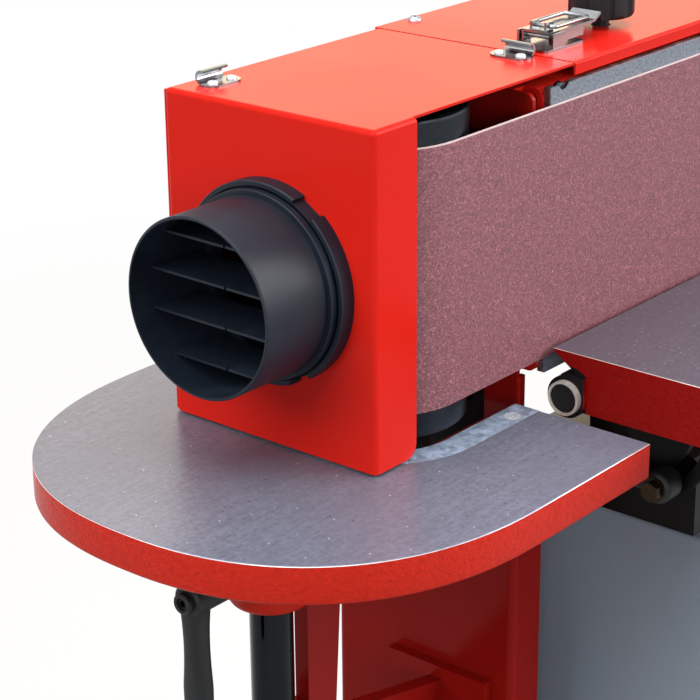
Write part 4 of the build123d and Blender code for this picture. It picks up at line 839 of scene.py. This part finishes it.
class SANDER_OT_end_table(bpy.types.Operator):
    """Cast end table with straight sides, a full round nose, cut-out, strip seat and clamp boss"""
    bl_idname = "sander.end_table"
    bl_label = "End table"

    def execute(self, context):
        size = context.scene.sander_sizes
        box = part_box("end_table")
        top, foot, end = box[1].z, box[0].z, box[1].x + SLOT_PAST
        under = top - size.table_thick
        rows = [(under + height, inset) for height, inset in UNDER_EDGE]
        rows += [(top - TOP_EDGE, 0.0), (top, TOP_EDGE)]
        plate = tube_of_rings([self.outline(box, inset, z) for z, inset in rows])
        lo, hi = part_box("insert_strip")
        seat = (hi.y - lo.y) / 2
        slot_x, slot_y = lo.x + seat, (lo.y + hi.y) / 2
        cut_out = seat - size.strip_width + STRIP_OVERHANG

        def slot(radius, low, high):
            return tube_of_rings([tongue(end, slot_x, slot_y, radius, radius, z)
                                  for z in (low, high)])

        lo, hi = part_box("end_column")
        x, y, bore = (lo.x + hi.x) / 2, (lo.y + hi.y) / 2, (hi.x - lo.x) / 2 + FIT
        boss = [(foot + height, radius) for height, radius in BOSS_FOOT]
        boss += [(foot + BOSS_EDGE, BOSS_RADIUS), (under + PAST, BOSS_RADIUS)]
        lo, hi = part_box("clamp_lever")
        z = hi.z - (hi.y - lo.y) / 2
        reach, stud = x - CLAMP_REACH, CLAMP_STUD + FIT
        made = carved("end_table_casting", plate, (
            ("UNION", upright(x, y, boss)),
            ("UNION", turned(y, z, [(reach, CLAMP_RADIUS), (x, CLAMP_RADIUS)])),
            ("DIFFERENCE", upright(x, y, [(foot - PAST, bore), (top - COLUMN_COVER, bore)])),
            ("DIFFERENCE", turned(y, z, [(reach - PAST, stud), (x, stud)])),
            ("DIFFERENCE", slot(cut_out, under - PAST, top + PAST)),
            ("DIFFERENCE", slot(seat + STRIP_PLAY, top - STRIP_DEPTH, top + 2 * PAST)),
        ))
        settle(made, finish("end_table_iron"), "end_top")
        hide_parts("end_table")
        return {"FINISHED"}

    def outline(self, box, inset, z):
        lo, hi = box
        return tongue(hi.x - inset, lo.x + NOSE_LENGTH, (lo.y + hi.y) / 2,
                      NOSE_LENGTH - NOSE_TRIM - inset, (hi.y - lo.y) / 2 - inset, z,
                      NOSE_FULLNESS, NOSE_STEPS)


class SANDER_OT_belt(bpy.types.Operator):
    """Abrasive belt, graphite cloth, platen and the rollers"""
    bl_idname = "sander.belt"
    bl_label = "Belt and rollers"

    def execute(self, context):
        dress("grit_belt", "belt")
        dress("graphite_canvas", "platen_pad")
        dress("turned_steel", "platen")
        dress("oxide_roller", "idler_roller", "platen_screws")
        dress("cast_aluminium", "drive_drum")
        return {"FINISHED"}


class SANDER_OT_dust_port(bpy.types.Operator):
    """Moulded dust port on the hood: stepped collar, bayonet notches and four louvre blades"""
    bl_idname = "sander.dust_port"
    bl_label = "Dust port"

    def execute(self, context):
        size = context.scene.sander_sizes
        lo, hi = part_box("dust_port")
        flange = (hi.z - lo.z) / 2
        axis = Vector((0.0, lo.y + flange, lo.z + flange))
        r = size.port_width / 2
        back = hi.x - PORT_TAIL
        profile = [(lo.x + x, r + more) for x, more in PORT_MOUTH]
        profile += [(back + x, r + more) for x, more in PORT_STEPS]
        turn = Matrix.Rotation(radians(size.blade_turn), 3, "X")
        front = lo.x + BLADE_START
        rear = front + BLADE_DEPTH
        blades = []
        cuts = []
        for level in BLADE_LEVELS:
            height = size.blade_rise + level * size.blade_pitch
            half = sqrt((r - BLADE_ROOT) ** 2 - (abs(height) + BLADE_REAR) ** 2)
            section = ((front, height - BLADE_FRONT), (front, height + BLADE_FRONT),
                       (rear, height + BLADE_REAR), (rear, height - BLADE_REAR))
            blades.append(tube_of_rings([[axis + turn @ Vector((x, y, z)) for x, z in section]
                                         for y in (-half, half)]))
            nick = brick((front - PAST, NICK_SIDES[0], height - 2 * PAST),
                         (front + NICK_DEPTH, NICK_SIDES[1], height + 2 * PAST))
            cuts.append(moved(nick, turn, axis))
        for angle in NOTCH_TURNS:
            notch = brick((back - NOTCH_DEPTH, -NOTCH_HALF, r + NOTCH_FLOOR),
                          (back + NOTCH_PAST, NOTCH_HALF, r + NOTCH_TOP))
            cuts.append(moved(notch, Matrix.Rotation(radians(angle), 3, "X"), axis))
        made = carved("dust_collar", hollow_turned(axis.y, axis.z, profile),
                      (("UNION", join_solids(blades)), ("DIFFERENCE", join_solids(cuts))))
        settle(made, finish("black_abs"), "hood")
        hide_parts("dust_port")
        return {"FINISHED"}


class SANDER_OT_latches(bpy.types.Operator):
    """Nickel-plated keepers and toggle latches, and bright rivets"""
    bl_idname = "sander.latches"
    bl_label = "Latches"

    def execute(self, context):
        dress("bright_nickel", "latch_keepers", "latch_bases", "back_latch_lever",
              "top_latch_lever")
        dress("zinc_screws", "keeper_rivets")
        for body, axis in (("back_bail", 1), ("top_bail", 2)):
            self.bail(body, axis)
        return {"FINISHED"}

    def bail(self, body, axis):
        """A loop of wire that lies flat on its lever when it is parked."""
        source = body.replace("_", "_latch_")
        lo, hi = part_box(source)
        middle = (lo + hi) / 2
        middle[axis] = lo[axis] + WIRE_RADIUS
        sides = []
        for way in range(3):
            if way != axis:
                side = Vector()
                side[way] = (hi[way] - lo[way]) / 2 - WIRE_RADIUS
                sides.append(side)
        made = plain(body + "_wire", wire_loop(middle, *sides))
        settle(made, finish("bright_nickel"), body)
        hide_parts(source)


class SANDER_OT_shafts(bpy.types.Operator):
    """Polished columns, turned shafts and rods, drawn tilt tube"""
    bl_idname = "sander.shafts"
    bl_label = "Columns and shafts"

    def execute(self, context):
        dress("blackened_steel", "end_column")
        dress("polished_steel", "lift_columns")
        dress("turned_steel", "idler_axle", "idler_bearings", "tension_rods", "tension_lever",
              "motor_shaft", "lift_spindle", "guide_bushes")
        dress("drawn_tube", "tilt_tube")
        return {"FINISHED"}


class SANDER_OT_black_iron(bpy.types.Operator):
    """Black enamel on the carriage, carrier, gearbox, handwheel and fan cover, grey on the motor"""
    bl_idname = "sander.black_iron"
    bl_label = "Enamelled iron"

    def execute(self, context):
        dress("black_enamel", "idler_carriage", "table_carrier", "lift_gearbox", "handwheel",
              "motor_fan_cover", "tilt_quadrants")
        dress("motor_enamel", "motor_body", "terminal_box")
        return {"FINISHED"}


class SANDER_OT_knobs(bpy.types.Operator):
    """Moulded knobs, grips, plugs, glands, switch box and push buttons"""
    bl_idname = "sander.knobs"
    bl_label = "Knobs and switch"

    def execute(self, context):
        dress("black_nylon", "tension_ball", "tracking_knob", "wheel_grip", "tube_plugs",
              "cable_glands", "switch_box")
        dress("green_button", "start_button")
        dress("red_button", "stop_button")
        return {"FINISHED"}


class SANDER_OT_levers(bpy.types.Operator):
    """Moulded clamp levers of the end table and the table tilt"""
    bl_idname = "sander.levers"
    bl_label = "Clamp levers"

    def execute(self, context):
        lo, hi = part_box("clamp_lever")
        r = (hi.y - lo.y) / 2
        x, y, z = lo.x, (lo.y + hi.y) / 2, hi.z - r
        profile = [(x + depth, radius) for depth, radius in CLAMP_CAP]
        profile += [(x + depth, r + more) for depth, more in CLAMP_HUB]
        profile += [(x + CLAMP_HUB[-1][0], CLAMP_STUD), (hi.x, CLAMP_STUD)]
        start, width, thick = CLAMP_ARM
        arm = handle_arm(Vector((x + start, y, z)), Vector((0, 0, -1)), z - lo.z, width, thick)
        made = plain("end_clamp_handle", join_solids([turned(y, z, profile), arm]))
        settle(made, finish("black_nylon"), "clamp")
        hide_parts("clamp_lever")
        screw = turned(y, z, [(x + depth, radius) for depth, radius in CLAMP_SCREW], 6)
        settle(plain("end_clamp_screw", screw), finish("blackened_steel"), "clamp")
        for side, body in ((-1, "lock_left"), (1, "lock_right")):
            self.tilt_lock(side, body, "tilt_" + body)
        return {"FINISHED"}

    def tilt_lock(self, side, body, name):
        lo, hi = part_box(name)
        r = (hi.z - lo.z) / 2
        y, z = lo.y + r, lo.z + r
        outer = lo.x if side < 0 else hi.x
        profile = [(outer - side * depth, r + more) for depth, more in LOCK_HUB]
        profile += [(outer - side * depth, radius) for depth, radius in LOCK_STUD]
        hub = turned(y, z, profile if side < 0 else profile[::-1])
        start, width, thick = LOCK_ARM
        arm = handle_arm(Vector((outer - side * start, y, z)), Vector((0, 1, 0)), hi.y - y,
                         width, thick)
        made = plain(name + "_handle", join_solids([hub, arm]))
        settle(made, finish("black_nylon"), body)
        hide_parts(name)


class SANDER_OT_lock_nuts(bpy.types.Operator):
    """Brass nuts and washers on the studs of the tilt locks"""
    bl_idname = "sander.lock_nuts"
    bl_label = "Lock nuts"

    def execute(self, context):
        size = context.scene.sander_sizes
        tree = lock_nut_tree()
        sizes = {"Nut width": size.nut_width, "Nut height": size.nut_height,
                 "Washer width": size.washer_width, "Washer height": size.washer_height}
        for side, body in ((-1, "lock_left"), (1, "lock_right")):
            lo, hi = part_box("tilt_" + body)
            r = (hi.z - lo.z) / 2
            spot = Vector((lo.x if side < 0 else hi.x, lo.y + r, lo.z + r))
            grow("tilt_nut_" + body, tree, [(spot, Vector((side, 0, 0)))], sizes,
                 finish("brass"), body)
        return {"FINISHED"}


class SANDER_OT_cover_screws(bpy.types.Operator):
    """Pan-head screws along the top cover, back guard and drive cover"""
    bl_idname = "sander.cover_screws"
    bl_label = "Cover screws"

    def execute(self, context):
        size = context.scene.sander_sizes
        sizes = {"Head width": size.screw_width, "Head height": size.screw_height,
                 "Recess width": size.recess_width}
        lo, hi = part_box("top_cover")
        spots = [(Vector((x, hi.y - TOP_INSET, hi.z)), Vector((0, 0, 1)))
                 for x in self.row(lo.x + TOP_MARGIN, hi.x - TOP_MARGIN, size.screw_pitch)]
        lo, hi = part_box("back_guard")
        spots += [(Vector((x, hi.y, hi.z - GUARD_DROP)), Vector((0, 1, 0)))
                  for x in self.row(lo.x + GUARD_START, hi.x - GUARD_END, size.screw_pitch)]
        lo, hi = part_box("drive_cover")
        for z in (lo.z + DRIVE_INSET, hi.z - DRIVE_INSET):
            for y in (lo.y + DRIVE_INSET, hi.y - DRIVE_INSET):
                spots.append((Vector((hi.x, y, z)), Vector((1, 0, 0))))
        grow("cover_screws", pan_screw_tree(), spots, sizes, finish("zinc_plate"), "base")
        return {"FINISHED"}

    def row(self, start, end, pitch):
        """Even places from start to end, about a pitch apart."""
        count = max(2, round((end - start) / pitch) + 1)
        return [start + i * (end - start) / (count - 1) for i in range(count)]


class SANDER_OT_stage(bpy.types.Operator):
    """Pale floor, soft lamps and the camera"""
    bl_idname = "sander.stage"
    bl_label = "Stage"

    def execute(self, context):
        scene = context.scene
        scene.view_settings.view_transform = "Standard"
        self.floor(scene)
        self.world(scene)
        for lamp in LAMPS:
            self.lamp(scene, *lamp)
        self.camera(scene)
        return {"FINISHED"}

    def floor(self, scene):
        ring = [(*spot, 0.0) for spot in circle(0.0, 0.0, FLOOR_RADIUS, FLOOR_SIDES)]
        made = plain("studio_floor", (ring, [tuple(range(FLOOR_SIDES))]))
        look = Finish("pale_studio_floor")
        colour = scene.sander_colours.floor
        shade = look.blend(look.noise(400, 2.0), tone(colour, 0.98), tone(colour, 1.02))
        # The floor throws less light up at the machine than the camera sees on it.
        seen = self.seen(look.tree)
        shade = look.blend(seen, tone(colour, 0.30), shade)
        matt = node(look.tree, "ShaderNodeBsdfDiffuse", {"Color": shade})
        glow = node(look.tree, "ShaderNodeEmission", {"Color": WHITE, "Strength": 1.0})
        # The shadow lies near the machine, and further out the floor fades into the backdrop.
        reach = look.vector("LENGTH", look.place)["Value"]
        fade = look.ranged(reach, FLOOR_FADE, (0.70, 1.0))
        both = node(look.tree, "ShaderNodeMixShader", {
            0: look.maths("MULTIPLY", seen, fade), 1: matt.outputs[0], 2: glow.outputs[0]})
        node(look.tree, "ShaderNodeOutputMaterial", {"Surface": both.outputs[0]})
        made.data.materials.append(look.material)

    def seen(self, tree):
        """A factor for rays that show the background: from the camera, in gloss, through glass."""
        path = node(tree, "ShaderNodeLightPath").outputs
        first = maths(tree, "MAXIMUM", path["Is Camera Ray"], path["Is Glossy Ray"])
        return maths(tree, "MAXIMUM", first, path["Is Transmission Ray"])

    def world(self, scene):
        world = bpy.data.worlds.new("studio")
        world.use_nodes = True
        tree = world.node_tree
        tree.nodes.clear()
        soft = node(tree, "ShaderNodeBackground", {"Color": WHITE, "Strength": WORLD_LIGHT})
        white = node(tree, "ShaderNodeBackground", {"Color": WHITE, "Strength": 1.0})
        mixed = node(tree, "ShaderNodeMixShader", {
            0: self.seen(tree), 1: soft.outputs[0], 2: white.outputs[0]})
        node(tree, "ShaderNodeOutputWorld", {"Surface": mixed.outputs[0]})
        scene.world = world

    def lamp(self, scene, name, place, width, depth, watts, colour):
        data = bpy.data.lights.new(name, "AREA")
        data.shape = "RECTANGLE"
        data.size = width
        data.size_y = depth
        data.energy = watts
        data.color = linear(colour)
        made = bpy.data.objects.new(name, data)
        made.location = place
        made.rotation_euler = (LAMP_TARGET - Vector(place)).to_track_quat("-Z", "Y").to_euler()
        scene.collection.objects.link(made)

    def camera(self, scene):
        data = bpy.data.cameras.new("photo_camera")
        data.sensor_width = CAMERA_SENSOR
        data.lens = CAMERA_LENS
        data.clip_end = CAMERA_FAR
        made = bpy.data.objects.new("photo_camera", data)
        azimuth, elevation, roll = (radians(angle) for angle in CAMERA_TURN)
        back = Vector((sin(azimuth) * cos(elevation), -cos(azimuth) * cos(elevation),
                       sin(elevation)))
        right = (-back).cross(Vector((0, 0, 1))).normalized()
        down = (-back).cross(right)
        across = right * cos(roll) + down * sin(roll)
        up = right * sin(roll) - down * cos(roll)
        turn = Matrix((across, up, back)).transposed().to_4x4()
        made.matrix_world = Matrix.Translation(CAMERA_PLACE) @ turn
        scene.collection.objects.link(made)
        scene.camera = made


OPERATORS = (
    SANDER_OT_sheet_metal, SANDER_OT_base, SANDER_OT_tables, SANDER_OT_end_table, SANDER_OT_belt,
    SANDER_OT_dust_port, SANDER_OT_latches, SANDER_OT_shafts, SANDER_OT_black_iron,
    SANDER_OT_knobs, SANDER_OT_levers, SANDER_OT_lock_nuts, SANDER_OT_cover_screws,
    SANDER_OT_stage,
)


class SANDER_PT_panel(bpy.types.Panel):
    """Lists the steps that dress the sander, with its colours and sizes"""
    bl_idname = "SANDER_PT_panel"
    bl_label = "Edge sander"
    bl_space_type = "VIEW_3D"
    bl_region_type = "UI"
    bl_category = "Edge sander"

    def draw(self, context):
        for step in OPERATORS:
            self.layout.operator(step.bl_idname)
        for group in (context.scene.sander_colours, context.scene.sander_sizes):
            box = self.layout.box()
            for name in group.__annotations__:
                box.prop(group, name)


CLASSES = (SanderColours, SanderSizes) + OPERATORS + (SANDER_PT_panel,)


def register():
    for cls in CLASSES:
        bpy.utils.register_class(cls)
    bpy.types.Scene.sander_colours = bpy.props.PointerProperty(type=SanderColours)
    bpy.types.Scene.sander_sizes = bpy.props.PointerProperty(type=SanderSizes)


def unregister():
    del bpy.types.Scene.sander_sizes
    del bpy.types.Scene.sander_colours
    for cls in reversed(CLASSES):
        bpy.utils.unregister_class(cls)


def main():
    register()
    bpy.ops.sander.sheet_metal()
    bpy.ops.sander.base()
    bpy.ops.sander.tables()
    bpy.ops.sander.end_table()
    bpy.ops.sander.belt()
    bpy.ops.sander.dust_port()
    bpy.ops.sander.latches()
    bpy.ops.sander.shafts()
    bpy.ops.sander.black_iron()
    bpy.ops.sander.knobs()
    bpy.ops.sander.levers()
    bpy.ops.sander.lock_nuts()
    bpy.ops.sander.cover_screws()
    bpy.ops.sander.stage()


if __name__ == "__main__":
    main()
